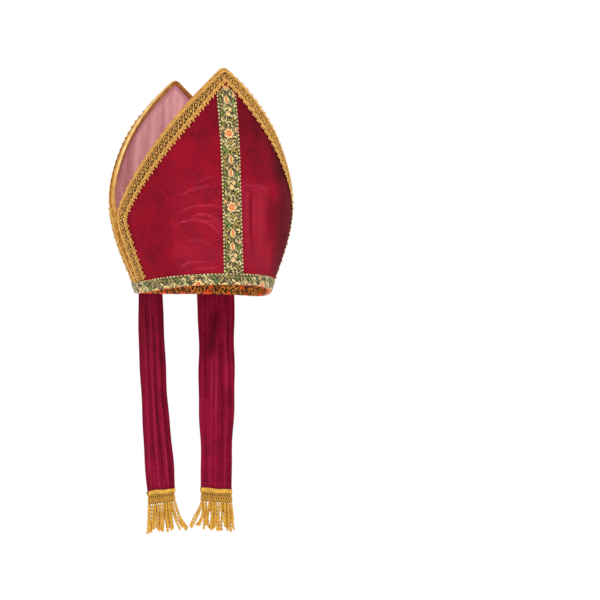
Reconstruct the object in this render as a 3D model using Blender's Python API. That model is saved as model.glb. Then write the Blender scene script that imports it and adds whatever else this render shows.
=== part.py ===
"""A bishop's mitre: two stiff velvet panels with satin linings, gold bindings and gold lace,
a brocade rim band and orphrey, and two lappets with brocade ribbons and bullion fringes.

The frame is in metres with +Z up. The origin is the middle of the head opening at the rim.
The front panel faces -Y, and the lappets hang from the back of the rim at +Y.
"""

import math

import bmesh
import bpy
import numpy as np
from mathutils import Matrix, Vector

# The formed shape: full widths and depths of the outer face at four heights.
SHOULDER_HEIGHT = 0.101
APEX_HEIGHT = 0.309
RIM_WIDTH = 0.190
RIM_DEPTH = 0.206
SHOULDER_WIDTH = 0.264
SHOULDER_DEPTH = 0.204
UPPER_WIDTH = 0.238
UPPER_DEPTH = 0.198
APEX_WIDTH = 0.176
APEX_DEPTH = 0.168

# The flat pattern of a panel: straight flanks, round shoulders, and arched crests that meet.
CREST_RADIUS = 0.925
SHOULDER_RADIUS = 0.030
TIP_RADIUS = 0.008
RIM_SEAM_GAP = 0.0004
SHOULDER_SEAM_GAP = 0.0040

# Thicknesses of the cloth, and the clearance between layers.
PANEL_THICKNESS = 0.0026
LINING_THICKNESS = 0.0010
BINDING_THICKNESS = 0.0010
LACE_THICKNESS = 0.0014
RIBBON_THICKNESS = 0.0008
LAPPET_THICKNESS = 0.0024
CLEARANCE = 0.0006
SEAT_CLEARANCE = 0.0003

# Trims.
BINDING_OUTER_LEG = 0.0028
BINDING_INNER_LEG = 0.0062
LACE_GAP = 0.0007
LACE_WIDTH = 0.0176
SCALLOP_DEPTH = 0.0034
SCALLOP_PITCH = 0.0110
RIBBON_WIDTH = 0.0290
BAND_HEIGHT = 0.0145

# Lappets and their fringes.
LAPPET_WIDTH = 0.0540
LAPPET_END_WIDTH = 0.0455
LAPPET_DROP = 0.2800
LAPPET_SPACING = 0.1050
LAPPET_SHIFT = 0.0100
LAPPET_SETTLE = 0.0700
LAPPET_END_TURN_SHARE = 0.30
LAPPET_END_CURL_RADIUS = 0.1500
LEFT_LAPPET_DRIFT = -0.0050
RIGHT_LAPPET_DRIFT = 0.0120
FRINGE_HEAD_HEIGHT = 0.0075
FRINGE_HEAD_THICKNESS = 0.0038
FRINGE_DROP = 0.0620
FRINGE_CORD_DIAMETER = 0.0032
FRINGE_CORD_COUNT = 13
FRINGE_SPLAY = 0.0040
FRINGE_STRAY = 0.0160

# Counts of segments, which set only how finely the curves are faceted.
PANEL_COLUMNS = 16
FLANK_STEPS = 4
SHOULDER_STEPS = 4
CREST_STEPS = 8
TIP_STEPS = 2
LAPPET_ROWS = 12
LAPPET_COLUMNS = 4
ORPHREY_ROWS = 12
ORPHREY_COLUMNS = 3
CURVE_STEPS = 24
QUARTER_STEPS = 64
CORD_STEPS = 3

FRONT = -1
BACK = 1
STACK = PANEL_THICKNESS + CLEARANCE + LINING_THICKNESS
MERGE_DISTANCE = 1e-6
TOP_STATION = 4.0

# Height, half width and half depth of the outer face, level by level.
LEVELS = (
    (0.0, RIM_WIDTH / 2, RIM_DEPTH / 2),
    (SHOULDER_HEIGHT, SHOULDER_WIDTH / 2, SHOULDER_DEPTH / 2),
    ((SHOULDER_HEIGHT + APEX_HEIGHT) / 2, UPPER_WIDTH / 2, UPPER_DEPTH / 2),
    (APEX_HEIGHT, APEX_WIDTH / 2, APEX_DEPTH / 2),
)


def srgb(hex_code):
    """A hex colour such as 8a1230 as linear red, green, blue and alpha."""
    values = [int(hex_code[i : i + 2], 16) / 255 for i in (0, 2, 4)]
    linear = [v / 12.92 if v <= 0.04045 else ((v + 0.055) / 1.055) ** 2.4 for v in values]
    return (*linear, 1.0)


# Name: colour, roughness, metallic.
FINISHES = {
    "wine_velvet": ("8a1230", 0.85, 0.0),
    "rose_satin": ("c98a8c", 0.40, 0.0),
    "gold_satin": ("c9892e", 0.35, 0.6),
    "gold_lace": ("d0a040", 0.45, 0.7),
    "brocade": ("8d7444", 0.55, 0.2),
    "gold_bullion": ("cd9a35", 0.45, 0.5),
}


def material(name):
    """The Principled material of that name, made once."""
    found = bpy.data.materials.get(name)
    if found:
        return found
    colour, roughness, metallic = FINISHES[name]
    made = bpy.data.materials.new(name)
    made.use_nodes = True
    shader = made.node_tree.nodes["Principled BSDF"]
    shader.inputs["Base Color"].default_value = srgb(colour)
    shader.inputs["Roughness"].default_value = roughness
    shader.inputs["Metallic"].default_value = metallic
    made.diffuse_color = srgb(colour)
    return made


def ease(share):
    """0 to 1 with a soft start and end."""
    share = min(max(share, 0.0), 1.0)
    return share * share * (3 - 2 * share)


def level_value(height, column):
    """Half width (column 1) or half depth (column 2) at a height, on one smooth curve."""
    heights = [row[0] for row in LEVELS]
    values = [row[column] for row in LEVELS]
    height = min(max(height, heights[0]), heights[-1])
    i = max(k for k in range(len(heights) - 1) if height >= heights[k])

    def slope(k):
        low, high = max(k - 1, 0), min(k + 1, len(heights) - 1)
        return (values[high] - values[low]) / (heights[high] - heights[low])

    span = heights[i + 1] - heights[i]
    t = (height - heights[i]) / span
    return (
        (2 * t**3 - 3 * t**2 + 1) * values[i]
        + (t**3 - 2 * t**2 + t) * span * slope(i)
        + (3 * t**2 - 2 * t**3) * values[i + 1]
        + (t**3 - t**2) * span * slope(i + 1)
    )


def quarter_table(half_width, half_depth):
    """Angles over a quarter of an ellipse, and the arc length up to each."""
    angles = np.linspace(0.0, math.pi / 2, QUARTER_STEPS + 1)
    speed = np.hypot(half_width * np.cos(angles), half_depth * np.sin(angles))
    lengths = np.cumsum((speed[1:] + speed[:-1]) / 2 * np.diff(angles))
    return angles, np.concatenate([[0.0], lengths])


def quarter_length(height):
    """Arc length of the outer face from a panel's middle to the side seam."""
    return quarter_table(level_value(height, 1), level_value(height, 2))[1][-1]


def section_place(side, arc, height):
    """(x, y, normal angle) on the outer face, at an arc length from a panel's middle line."""
    half_width, half_depth = level_value(height, 1), level_value(height, 2)
    angles, lengths = quarter_table(half_width, half_depth)
    angle = math.copysign(float(np.interp(abs(arc), lengths, angles)), arc)
    x = half_width * math.sin(angle)
    y = half_depth * math.cos(angle)
    facing = math.atan2(math.sin(angle) / half_width, math.cos(angle) / half_depth)
    return x, side * y, facing


def wrap(side, arc, height, lift):
    """The pattern point (arc, height) formed into the mitre, lifted outwards from its outer face."""
    x, y, facing = section_place(side, arc, height)
    return Vector((x + lift * math.sin(facing), y + side * lift * math.cos(facing), height))


def arc_points(centre, radius, start, end, steps):
    """Points on an arc of the pattern, from one angle to another."""
    angles = np.linspace(start, end, steps + 1)
    return np.stack([centre[0] + radius * np.cos(angles), centre[1] + radius * np.sin(angles)], 1)


class Pattern:
    """Half of a panel's flat pattern: the flank, the round shoulder, and the crest with its tip."""

    def __init__(self):
        seam = BINDING_THICKNESS + CLEARANCE
        foot = np.array([quarter_length(0.0) - seam - RIM_SEAM_GAP / 2, 0.0])
        top_arc = quarter_length(SHOULDER_HEIGHT) - seam - SHOULDER_SEAM_GAP / 2
        corner = np.array([top_arc, SHOULDER_HEIGHT])
        apex = np.array([0.0, APEX_HEIGHT])
        self.foot = foot
        self.along = (corner - foot) / np.linalg.norm(corner - foot)
        self.inward = np.array([-self.along[1], self.along[0]])
        chord = apex - corner
        half = np.linalg.norm(chord) / 2
        side = np.array([-chord[1], chord[0]]) / (2 * half)
        self.centre = (corner + apex) / 2 + side * math.sqrt(CREST_RADIUS**2 - half**2)
        self.shoulder = self.round_corner()
        self.tip_height = self.crest_height(0.0, TIP_RADIUS)

    def round_corner(self):
        """Centre of the shoulder's arc, which touches the flank and the crest."""
        start = self.foot + self.inward * SHOULDER_RADIUS - self.centre
        radius = CREST_RADIUS - SHOULDER_RADIUS
        b = float(start @ self.along)
        c = float(start @ start) - radius**2
        return self.centre + start + self.along * (-b + math.sqrt(b * b - c))

    def flank_arc(self, height):
        """Distance of the flank from the middle line at a height."""
        return float(self.foot[0] + self.along[0] / self.along[1] * height)

    def crest_height(self, arc, inset):
        """Height of the inset crest above a distance from the middle line."""
        across = arc - self.centre[0]
        return self.centre[1] + math.sqrt((CREST_RADIUS - inset) ** 2 - across**2)

    def spans(self, inset, foot_height):
        """The inset flank, shoulder, crest and tip, each as points on the way up."""
        start = self.foot + self.inward * inset
        start = start + self.along * (foot_height - start[1]) / self.along[1]
        flank_angle = math.atan2(-self.inward[1], -self.inward[0])
        join = self.shoulder - self.centre
        crest_angle = math.atan2(join[1], join[0])
        shoulder = arc_points(
            self.shoulder, SHOULDER_RADIUS - inset, flank_angle, crest_angle, SHOULDER_STEPS * 4
        )
        tip_radius = max(TIP_RADIUS - inset, 0.0)
        end = (
            np.array([0.0, self.tip_height])
            if tip_radius
            else np.array([0.0, self.crest_height(0.0, inset)])
        )
        reach = end - self.centre
        end_angle = math.atan2(reach[1], reach[0])
        crest = arc_points(self.centre, CREST_RADIUS - inset, crest_angle, end_angle, CURVE_STEPS)
        tip = arc_points(end, tip_radius, end_angle, math.pi / 2, TIP_STEPS * 4)
        return np.stack([start, shoulder[0]]), shoulder, crest, tip

    def at(self, station, inset, foot_height):
        """(arc, height) of the inset outline: station 0 to 1 is the flank, to 2 the shoulder, to 3
        the crest and to 4 the tip. A negative station is the same place on the other half."""
        spans = self.spans(inset, foot_height)
        place = min(abs(station), TOP_STATION - 1e-12)
        points = spans[int(place)]
        steps = np.linalg.norm(np.diff(points, axis=0), axis=1)
        lengths = np.concatenate([[0.0], np.cumsum(steps)])
        where = (place - int(place)) * lengths[-1]
        arc = float(np.interp(where, lengths, points[:, 0]))
        height = float(np.interp(where, lengths, points[:, 1]))
        return math.copysign(arc, station), height

    def length(self, inset, foot_height):
        """Length of each span of the inset outline."""
        return [
            float(np.linalg.norm(np.diff(points, axis=0), axis=1).sum())
            for points in self.spans(inset, foot_height)
        ]


PATTERN = Pattern()


def half_stations():
    """Stations from the rim to the tip, at which panels and bindings have their rows. One is
    at the top of the rim band, so that the band lies flat on them."""
    flank_top = PATTERN.spans(0.0, 0.0)[0][1, 1]
    flank = [0.0, *np.linspace(BAND_HEIGHT / flank_top, 1, FLANK_STEPS)[:-1]]
    shoulder = 1 + np.linspace(0, 1, SHOULDER_STEPS + 1)[:-1]
    crest = 2 + np.linspace(0, 1, CREST_STEPS + 1)[:-1]
    tip = 3 + np.linspace(0, 1, TIP_STEPS + 1)
    return [float(x) for x in (*flank, *shoulder, *crest, *tip)]


def round_trip(stations):
    """Stations of the whole outline, from one rim end over the tip to the other."""
    return [-max(s, 1e-9) for s in stations] + stations[-2::-1]


def new_object(name, mesh, finish, collection):
    made = bpy.data.objects.new(name, mesh)
    mesh.materials.append(material(finish))
    collection.objects.link(made)
    mesh.shade_smooth()
    mesh.set_sharp_from_angle(angle=math.radians(35))
    return made


def slab(name, columns, rows, place, finish, collection, closed=False):
    """A sheet with thickness: a grid and its extruded twin, each vertex moved to
    place(column, row, layer). Layer 0 is the inner face and layer 1 the outer face."""
    bm = bmesh.new()
    bmesh.ops.create_grid(bm, x_segments=columns, y_segments=rows, size=0.5)
    for vert in bm.verts:
        vert.co = Vector(((vert.co.x + 0.5) * columns, (vert.co.y + 0.5) * rows, 0.0))
    grown = bmesh.ops.extrude_face_region(bm, geom=bm.faces[:], use_keep_orig=True)
    for item in grown["geom"]:
        if isinstance(item, bmesh.types.BMVert):
            item.co.z = 1.0
    if closed:
        ends = [
            face
            for face in bm.faces
            if len({round(v.co.x) for v in face.verts}) == 1
            and round(face.verts[0].co.x) in (0, columns)
        ]
        bmesh.ops.delete(bm, geom=ends, context="FACES")
    for vert in bm.verts:
        vert.co = place(round(vert.co.x), round(vert.co.y), round(vert.co.z))
    bmesh.ops.remove_doubles(bm, verts=bm.verts, dist=MERGE_DISTANCE)
    bmesh.ops.recalc_face_normals(bm, faces=bm.faces)
    mesh = bpy.data.meshes.new(name)
    bm.to_mesh(mesh)
    bm.free()
    return new_object(name, mesh, finish, collection)


def column_share(column):
    """Where a column lies between a panel's two edges, -1 to 1, closest together at the edges."""
    return math.sin(math.pi / 2 * (2 * column / PANEL_COLUMNS - 1))


def panel_layer(name, side, outer_lift, thickness, finish, collection):
    """A whole panel-shaped layer, whose outer face is lifted by outer_lift."""
    stations = half_stations()
    rows = [PATTERN.at(s, 0.0, 0.0) for s in stations]

    def place(column, row, layer):
        half_arc, height = rows[row]
        arc = column_share(column) * half_arc
        return wrap(side, arc, height, outer_lift - (1 - layer) * thickness)

    return slab(name, PANEL_COLUMNS, len(rows) - 1, place, finish, collection)


def fold_section(outer_leg, inner_leg, thickness, clearance):
    """A tape folded over the edge of a panel and its lining, as rows of
    (inset of the inner face, its lift, inset of the outer face, its lift)."""
    low = -STACK - clearance
    round_off = thickness
    return (
        (outer_leg, clearance, outer_leg, clearance + thickness),
        (0.0, clearance, 0.0, clearance + thickness),
        (-clearance, -round_off / 2, -clearance - thickness, round_off / 2),
        (-clearance, low + 1.5 * round_off, -clearance - thickness, low + round_off / 2),
        (0.0, low, 0.0, low - thickness),
        (inner_leg, low, inner_leg, low - thickness),
    )


def binding(name, side, collection):
    """A satin tape folded over a panel's whole free edge, down to the rim band."""
    section = fold_section(
        BINDING_OUTER_LEG, BINDING_INNER_LEG, BINDING_THICKNESS, CLEARANCE
    )
    stations = round_trip(half_stations())
    foot = BAND_HEIGHT + SEAT_CLEARANCE

    def place(column, row, layer):
        inset, lift = section[row][2 * layer : 2 * layer + 2]
        arc, height = PATTERN.at(stations[column], inset, foot)
        return wrap(side, arc, height, lift)

    return slab(name, len(stations) - 1, len(section) - 1, place, "gold_satin", collection)


def lace_stations(outer_inset, foot):
    """Stations at every scallop's tip and notch, from one rim end over the tip to the other."""
    lengths = PATTERN.length(outer_inset, foot)
    total = sum(lengths)
    half_count = round(total / SCALLOP_PITCH)
    stations = []
    for k in range(2 * half_count + 1):
        where = total * k / (2 * half_count)
        span = 0
        while span < len(lengths) - 1 and where > lengths[span]:
            where -= lengths[span]
            span += 1
        stations.append(min(span + where / lengths[span], TOP_STATION))
    return stations


def lace(name, side, collection):
    """The gold braid beside the binding, whose inner edge runs in pointed scallops."""
    outer_inset = BINDING_OUTER_LEG + LACE_GAP
    foot = BAND_HEIGHT + SEAT_CLEARANCE
    half = lace_stations(outer_inset, foot)
    stations = round_trip(half)

    def place(column, row, layer):
        notch = 0.0 if column % 2 else SCALLOP_DEPTH
        inset = outer_inset if row == 0 else outer_inset + LACE_WIDTH - notch
        arc, height = PATTERN.at(stations[column], inset, foot)
        return wrap(side, arc, height, CLEARANCE + layer * LACE_THICKNESS)

    return slab(name, len(stations) - 1, 1, place, "gold_lace", collection)


def rim_band(collection):
    """A brocade ribbon folded in half over the lower edge of both panels, all the way round."""
    low = -STACK - CLEARANCE
    edge = -SEAT_CLEARANCE
    section = (
        (BAND_HEIGHT, CLEARANCE, BAND_HEIGHT, CLEARANCE + RIBBON_THICKNESS),
        (0.0, CLEARANCE, 0.0, CLEARANCE + RIBBON_THICKNESS),
        (edge, 0.0, edge - RIBBON_THICKNESS, RIBBON_THICKNESS / 2),
        (edge, -STACK, edge - RIBBON_THICKNESS, -STACK - RIBBON_THICKNESS / 2),
        (0.0, low, 0.0, low - RIBBON_THICKNESS),
        (BAND_HEIGHT, low, BAND_HEIGHT, low - RIBBON_THICKNESS),
    )

    def place(column, row, layer):
        height, lift = section[row][2 * layer : 2 * layer + 2]
        half, step = divmod(column % (2 * PANEL_COLUMNS), PANEL_COLUMNS)
        rise = max(height, 0.0)
        arc = column_share(step) * (PATTERN.flank_arc(rise) if step else quarter_length(rise))
        spot = wrap(BACK if half else FRONT, -arc if half else arc, max(height, 0.0), lift)
        return Vector((spot.x, spot.y, height))

    return slab("rim_band", 2 * PANEL_COLUMNS, 5, place, "brocade", collection, closed=True)


def orphrey(collection):
    """The upright brocade ribbon on the front panel, from the rim band to the lace."""
    foot = BAND_HEIGHT + SEAT_CLEARANCE
    top_inset = BINDING_OUTER_LEG + LACE_GAP + LACE_WIDTH + CLEARANCE

    def place(column, row, layer):
        arc = RIBBON_WIDTH * (column / ORPHREY_COLUMNS - 0.5)
        top = PATTERN.crest_height(abs(arc), top_inset)
        height = foot + (top - foot) * row / ORPHREY_ROWS
        return wrap(FRONT, arc, height, CLEARANCE + layer * RIBBON_THICKNESS)

    return slab("orphrey", ORPHREY_COLUMNS, ORPHREY_ROWS, place, "brocade", collection)


class Lappet:
    """Where a lappet hangs: seated on the rim band at the back, then flattening as it falls."""

    def __init__(self, arc, drift):
        self.arc = arc
        self.drift = drift
        _, _, self.rim_facing = section_place(BACK, arc, 0.0)

    def width(self, height):
        share = ease(-height / LAPPET_DROP)
        return LAPPET_WIDTH + (LAPPET_END_WIDTH - LAPPET_WIDTH) * share

    def place(self, across, height, lift):
        """The point across the lappet's middle line at a height, lifted outwards."""
        if height >= 0:
            return wrap(BACK, self.arc + across, height, lift)
        seated = wrap(BACK, self.arc + across, 0.0, lift)
        seated.z = height
        share = min(-height / LAPPET_DROP, 1.0)
        facing = self.rim_facing * (1 - (1 - LAPPET_END_TURN_SHARE) * ease(share))
        middle = wrap(BACK, self.arc, 0.0, 0.0)
        middle.x += self.drift * share**1.5
        angle = facing + across / LAPPET_END_CURL_RADIUS
        radius = LAPPET_END_CURL_RADIUS
        hanging = Vector(
            (
                middle.x + radius * (math.sin(angle) - math.sin(facing)) + lift * math.sin(angle),
                middle.y + radius * (math.cos(angle) - math.cos(facing)) + lift * math.cos(angle),
                height,
            )
        )
        return seated.lerp(hanging, ease(-height / LAPPET_SETTLE))


# Left and right are the wearer's, so the left lappet lies at +X.
LAPPETS = {
    "left": Lappet(LAPPET_SHIFT + LAPPET_SPACING / 2, LEFT_LAPPET_DRIFT),
    "right": Lappet(LAPPET_SHIFT - LAPPET_SPACING / 2, RIGHT_LAPPET_DRIFT),
}
LAPPET_LIFT = CLEARANCE + RIBBON_THICKNESS + CLEARANCE


def lappet_strip(name, lappet, width_at, lift, thickness, columns, finish, collection):
    """A strip on a lappet's path, from the top of the rim band to the lappet's lower end."""

    def place(column, row, layer):
        height = BAND_HEIGHT - (BAND_HEIGHT + LAPPET_DROP) * row / LAPPET_ROWS
        across = width_at(height) * (column / columns - 0.5)
        return lappet.place(across, height, lift + layer * thickness)

    return slab(name, columns, LAPPET_ROWS, place, finish, collection)


def fringe_cord(name, lappet, share, splay):
    """One bullion cord as a mesh tube, from inside the heading down to the fringe's end."""
    top = -LAPPET_DROP - FRINGE_HEAD_HEIGHT / 2
    bottom = -LAPPET_DROP - FRINGE_DROP
    middle = LAPPET_LIFT + LAPPET_THICKNESS / 2
    curve = bpy.data.curves.new(name, "CURVE")
    curve.dimensions = "3D"
    curve.bevel_depth = FRINGE_CORD_DIAMETER / 2
    curve.bevel_resolution = 1
    curve.use_fill_caps = True
    spline = curve.splines.new("POLY")
    spline.points.add(CORD_STEPS)
    reach = LAPPET_END_WIDTH - FRINGE_CORD_DIAMETER
    for k in range(CORD_STEPS + 1):
        t = k / CORD_STEPS
        across = reach * share + splay * t * t
        spot = lappet.place(across, top + (bottom - top) * t, middle)
        spline.points[k].co = (*spot, 1.0)
    guide = bpy.data.objects.new(name, curve)
    bpy.context.scene.collection.objects.link(guide)
    graph = bpy.context.evaluated_depsgraph_get()
    mesh = bpy.data.meshes.new_from_object(guide.evaluated_get(graph))
    bpy.data.objects.remove(guide)
    bm = bmesh.new()
    bm.from_mesh(mesh)
    bmesh.ops.remove_doubles(bm, verts=bm.verts, dist=MERGE_DISTANCE)
    bmesh.ops.recalc_face_normals(bm, faces=bm.faces)
    bm.to_mesh(mesh)
    bm.free()
    return mesh


def fringe(name, lappet, collection, cutters):
    """A woven heading under the lappet's end, with a row of bullion cords joined to it."""
    middle = LAPPET_LIFT + LAPPET_THICKNESS / 2
    columns = 6

    def place(column, row, layer):
        height = -LAPPET_DROP - SEAT_CLEARANCE - FRINGE_HEAD_HEIGHT * (1 - row)
        across = LAPPET_END_WIDTH * (column / columns - 0.5)
        return lappet.place(across, height, middle + FRINGE_HEAD_THICKNESS * (layer - 0.5))

    made = slab(name, columns, 1, place, "gold_bullion", collection)
    for k in range(FRINGE_CORD_COUNT):
        share = k / (FRINGE_CORD_COUNT - 1) - 0.5
        towards_other = -math.copysign(1.0, lappet.arc)
        inner = max(0.0, 1 - (0.5 - towards_other * share) * (FRINGE_CORD_COUNT - 1) / 2.5)
        sway = 0.18 * math.sin(2.4 * k)
        splay = FRINGE_SPLAY * (2 * share + sway) + FRINGE_STRAY * towards_other * inner
        mesh = fringe_cord(f"{name}_cord_{k}", lappet, share, splay)
        cord = bpy.data.objects.new(f"{name}_cord_{k}", mesh)
        cutters.objects.link(cord)
        cord.hide_render = True
        cord.display_type = "WIRE"
        join = made.modifiers.new(f"cord {k}", "BOOLEAN")
        join.operation = "UNION"
        join.object = cord
    return made


def new_collection(name):
    made = bpy.data.collections.new(name)
    bpy.context.scene.collection.children.link(made)
    return made


def main():
    for old in list(bpy.data.objects):
        bpy.data.objects.remove(old, do_unlink=True)
    mitre = new_collection("bishop_mitre")
    helpers = new_collection("fringe_cords")
    helpers.hide_render = True
    for word, side in (("front", FRONT), ("back", BACK)):
        panel_layer(f"{word}_panel", side, 0.0, PANEL_THICKNESS, "wine_velvet", mitre)
        lining_lift = -PANEL_THICKNESS - CLEARANCE
        panel_layer(f"{word}_lining", side, lining_lift, LINING_THICKNESS, "rose_satin", mitre)
        binding(f"{word}_binding", side, mitre)
        lace(f"{word}_lace", side, mitre)
    rim_band(mitre)
    orphrey(mitre)
    for word, lappet in LAPPETS.items():
        lappet_strip(
            f"{word}_lappet", lappet, lappet.width, LAPPET_LIFT, LAPPET_THICKNESS,
            LAPPET_COLUMNS, "wine_velvet", mitre,
        )
        ribbon_lift = LAPPET_LIFT + LAPPET_THICKNESS + SEAT_CLEARANCE
        lappet_strip(
            f"{word}_lappet_ribbon", lappet, lambda height: RIBBON_WIDTH, ribbon_lift,
            RIBBON_THICKNESS, 2, "brocade", mitre,
        )
        fringe(f"{word}_fringe", lappet, mitre, helpers)


main()
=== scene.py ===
"""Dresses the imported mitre: velvet, satin, gold lace, brocade ribbon and bullion on its frame."""

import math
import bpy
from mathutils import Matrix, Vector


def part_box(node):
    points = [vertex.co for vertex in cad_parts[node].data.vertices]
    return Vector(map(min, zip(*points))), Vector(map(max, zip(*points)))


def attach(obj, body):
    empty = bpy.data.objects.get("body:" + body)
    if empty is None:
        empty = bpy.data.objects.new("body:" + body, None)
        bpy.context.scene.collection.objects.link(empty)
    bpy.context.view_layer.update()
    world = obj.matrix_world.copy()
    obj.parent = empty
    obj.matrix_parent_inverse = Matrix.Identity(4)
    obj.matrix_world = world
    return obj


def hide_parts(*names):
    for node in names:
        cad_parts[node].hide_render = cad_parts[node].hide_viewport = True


bl_info = {
    "name": "Bishop Mitre Dresser",
    "version": (1, 0, 0),
    "blender": (4, 5, 0),
    "location": "3D View > Sidebar > Mitre",
    "description": "Makes the cloth, lace, ribbons and fringes of a mitre on its packed frame",
    "category": "Add Mesh",
}

import bpy
import numpy as np
from bpy.props import FloatProperty, FloatVectorProperty, IntProperty, PointerProperty
from mathutils import Matrix, Vector

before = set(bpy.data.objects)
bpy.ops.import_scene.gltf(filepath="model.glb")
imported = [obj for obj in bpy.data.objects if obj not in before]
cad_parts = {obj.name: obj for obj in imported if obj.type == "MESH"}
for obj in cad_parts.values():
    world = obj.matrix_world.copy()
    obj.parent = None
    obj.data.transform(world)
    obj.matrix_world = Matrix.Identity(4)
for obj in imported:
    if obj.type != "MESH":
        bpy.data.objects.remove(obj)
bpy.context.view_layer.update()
RIM_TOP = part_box("rim_band")[1][2]
LAPPET_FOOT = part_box("left_lappet")[0][2]
FRINGE_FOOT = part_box("left_fringe")[0][2]

# A panel's side along Y. Its outline runs from station 0 at the rim to 4 at the tip, in four parts.
FRONT, BACK = -1, 1
SIDES = (("front", FRONT), ("back", BACK))
MM = 0.001
TIP = 4.0
PART = 100  # steps in each part of the outline


def linear(hex_code):
    """A hex sRGB colour such as 8a1230 as linear red, green, blue and alpha."""
    values = [int(hex_code[i : i + 2], 16) / 255 for i in (0, 2, 4)]
    return (*(v / 12.92 if v <= 0.04045 else ((v + 0.055) / 1.055) ** 2.4 for v in values), 1.0)


def darker(shade, share):
    return (*(c * share for c in tuple(shade)[:3]), 1.0)


def length(name, description, default):
    return FloatProperty(name=name, description=description, default=default, unit="LENGTH")


def angle(name, description, degrees):
    turn = math.radians(degrees)
    return FloatProperty(name=name, description=description, default=turn, subtype="ANGLE")


def colour(name, description, hex_code):
    return FloatVectorProperty(
        name=name, description=description, default=linear(hex_code), size=4, subtype="COLOR",
        min=0.0, max=1.0,
    )

# Settings


class MitreForm(bpy.types.PropertyGroup):
    """Sizes of the mitre's form, the same as the frame's"""

    shoulder_height: length("Shoulder height", "Height of the widest place", 0.101)
    apex_height: length("Point height", "Height where the crests would meet", 0.309)
    rim_width: length("Rim width", "Outer width at the rim", 0.190)
    rim_depth: length("Rim depth", "Outer depth at the rim", 0.206)
    shoulder_width: length("Shoulder width", "Outer width at the shoulder", 0.264)
    shoulder_depth: length("Shoulder depth", "Outer depth at the shoulder", 0.204)
    upper_width: length("Upper width", "Outer width above the shoulder", 0.238)
    upper_depth: length("Upper depth", "Outer depth above the shoulder", 0.198)
    apex_width: length("Point width", "Outer width at the height of the points", 0.176)
    apex_depth: length("Point depth", "Distance between the two points", 0.168)
    crest_radius: length("Crest radius", "Radius of the crests in the flat pattern", 0.925)
    shoulder_radius: length("Shoulder radius", "Radius of the shoulders in the pattern", 0.030)
    tip_radius: length("Tip radius", "Radius of the points in the pattern", 0.008)


class MitreTrims(bpy.types.PropertyGroup):
    """Sizes of the linings, bindings, laces, ribbons and fringes"""

    velvet_thickness: length("Velvet wall", "Velvet with its stiff backing", 0.0026)
    lace_width: length("Lace width", "Width of the gold lace with its fans", 0.0182)
    lace_pitch: length("Lace pitch", "Length of one fan of the lace", 0.0113)
    lace_thread: length("Lace thread", "Thickness of the gold thread", 0.00125)
    binding_inner: length("Binding inside", "Width of the binding inside the panel", 0.0048)
    ribbon_width: length("Ribbon width", "Width of the brocade ribbon", 0.0290)
    ribbon_repeat: length("Ribbon repeat", "Length of one repeat of the pattern", 0.1040)
    cord_thickness: length("Fringe cord", "Thickness of a bullion cord", 0.0032)
    cord_count: IntProperty(
        name="Fringe cords", description="Cords in the front row of a fringe", default=13, min=3
    )


class MitreColours(bpy.types.PropertyGroup):
    """Colours of the cloths and threads"""

    velvet: colour("Velvet", "Pile of the two panels", "8e0b21")
    velvet_deep: colour("Velvet, deep", "Pile that stands away from the light", "5e0a1c")
    lappet: colour("Lappet velvet", "Pile of the lappets", "840a2c")
    satin: colour("Lining satin", "Lining in the light", "e8b2ac")
    # The deep satin is painted shade, laid in the valleys of the lining's folds.
    satin_deep: colour("Lining satin, deep", "Lining in its folds", "b06a72")
    gold: colour("Gold thread", "Thread of the lace", "ffce6c")
    # The worn gold is also the painted shade in the hollows between the thread's turns.
    gold_deep: colour("Gold thread, worn", "Dull places of the lace", "b0681e")
    binding: colour("Binding satin", "Tape folded over the edges", "cf9236")
    bullion: colour("Bullion", "Cords of the fringes", "e2a832")
    ground: colour("Brocade ground", "Ground of the ribbon", "26220e")
    scroll: colour("Brocade scroll", "Pale scrolls of the ribbon", "e8d590")
    straw: colour("Brocade straw", "Dull gold scrolls of the ribbon", "a8882e")
    blossom: colour("Brocade blossom", "Blossoms of the ribbon", "d4602c")
    leaf: colour("Brocade leaf", "Leaves of the ribbon", "6f8a32")
    reverse: colour("Brocade reverse", "Wrong side of the ribbon", "e0802a")


class MitreStage(bpy.types.PropertyGroup):
    """The floor, the light and the camera"""

    floor_drop: length("Floor", "How far the floor lies below the rim", 0.70)
    world_light: FloatProperty(name="World", description="Strength of the soft light", default=1.0)
    key_light: FloatProperty(name="Key", description="Power of the large lamp", default=11.0, unit="POWER")
    azimuth: angle("Azimuth", "Where the camera stands", -24.8)
    elevation: angle("Elevation", "How high the camera stands", -3.57)
    roll: angle("Roll", "How far the camera leans", -1.175)
    distance: length("Distance", "From the camera to the rim", 6.0)


# Form


def level_curve(heights, values, z):
    """A smooth curve through the values at those heights."""
    slopes = np.empty(len(values))
    slopes[1:-1] = (values[2:] - values[:-2]) / (heights[2:] - heights[:-2])
    slopes[0] = (values[1] - values[0]) / (heights[1] - heights[0])
    slopes[-1] = (values[-1] - values[-2]) / (heights[-1] - heights[-2])
    z = np.clip(z, heights[0], heights[-1])
    k = np.clip(np.searchsorted(heights, z, side="right") - 1, 0, len(heights) - 2)
    span = heights[k + 1] - heights[k]
    t = (z - heights[k]) / span
    return (
        (2 * t**3 - 3 * t**2 + 1) * values[k]
        + (t**3 - 2 * t**2 + t) * span * slopes[k]
        + (3 * t**2 - 2 * t**3) * values[k + 1]
        + (t**3 - t**2) * span * slopes[k + 1]
    )


def smoothstep(low, high, x):
    t = np.clip((np.asarray(x, float) - low) / (high - low), 0.0, 1.0)
    return t * t * (3 - 2 * t)


def bell(x, width):
    return np.exp(-((np.asarray(x, float) / width) ** 2))


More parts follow.
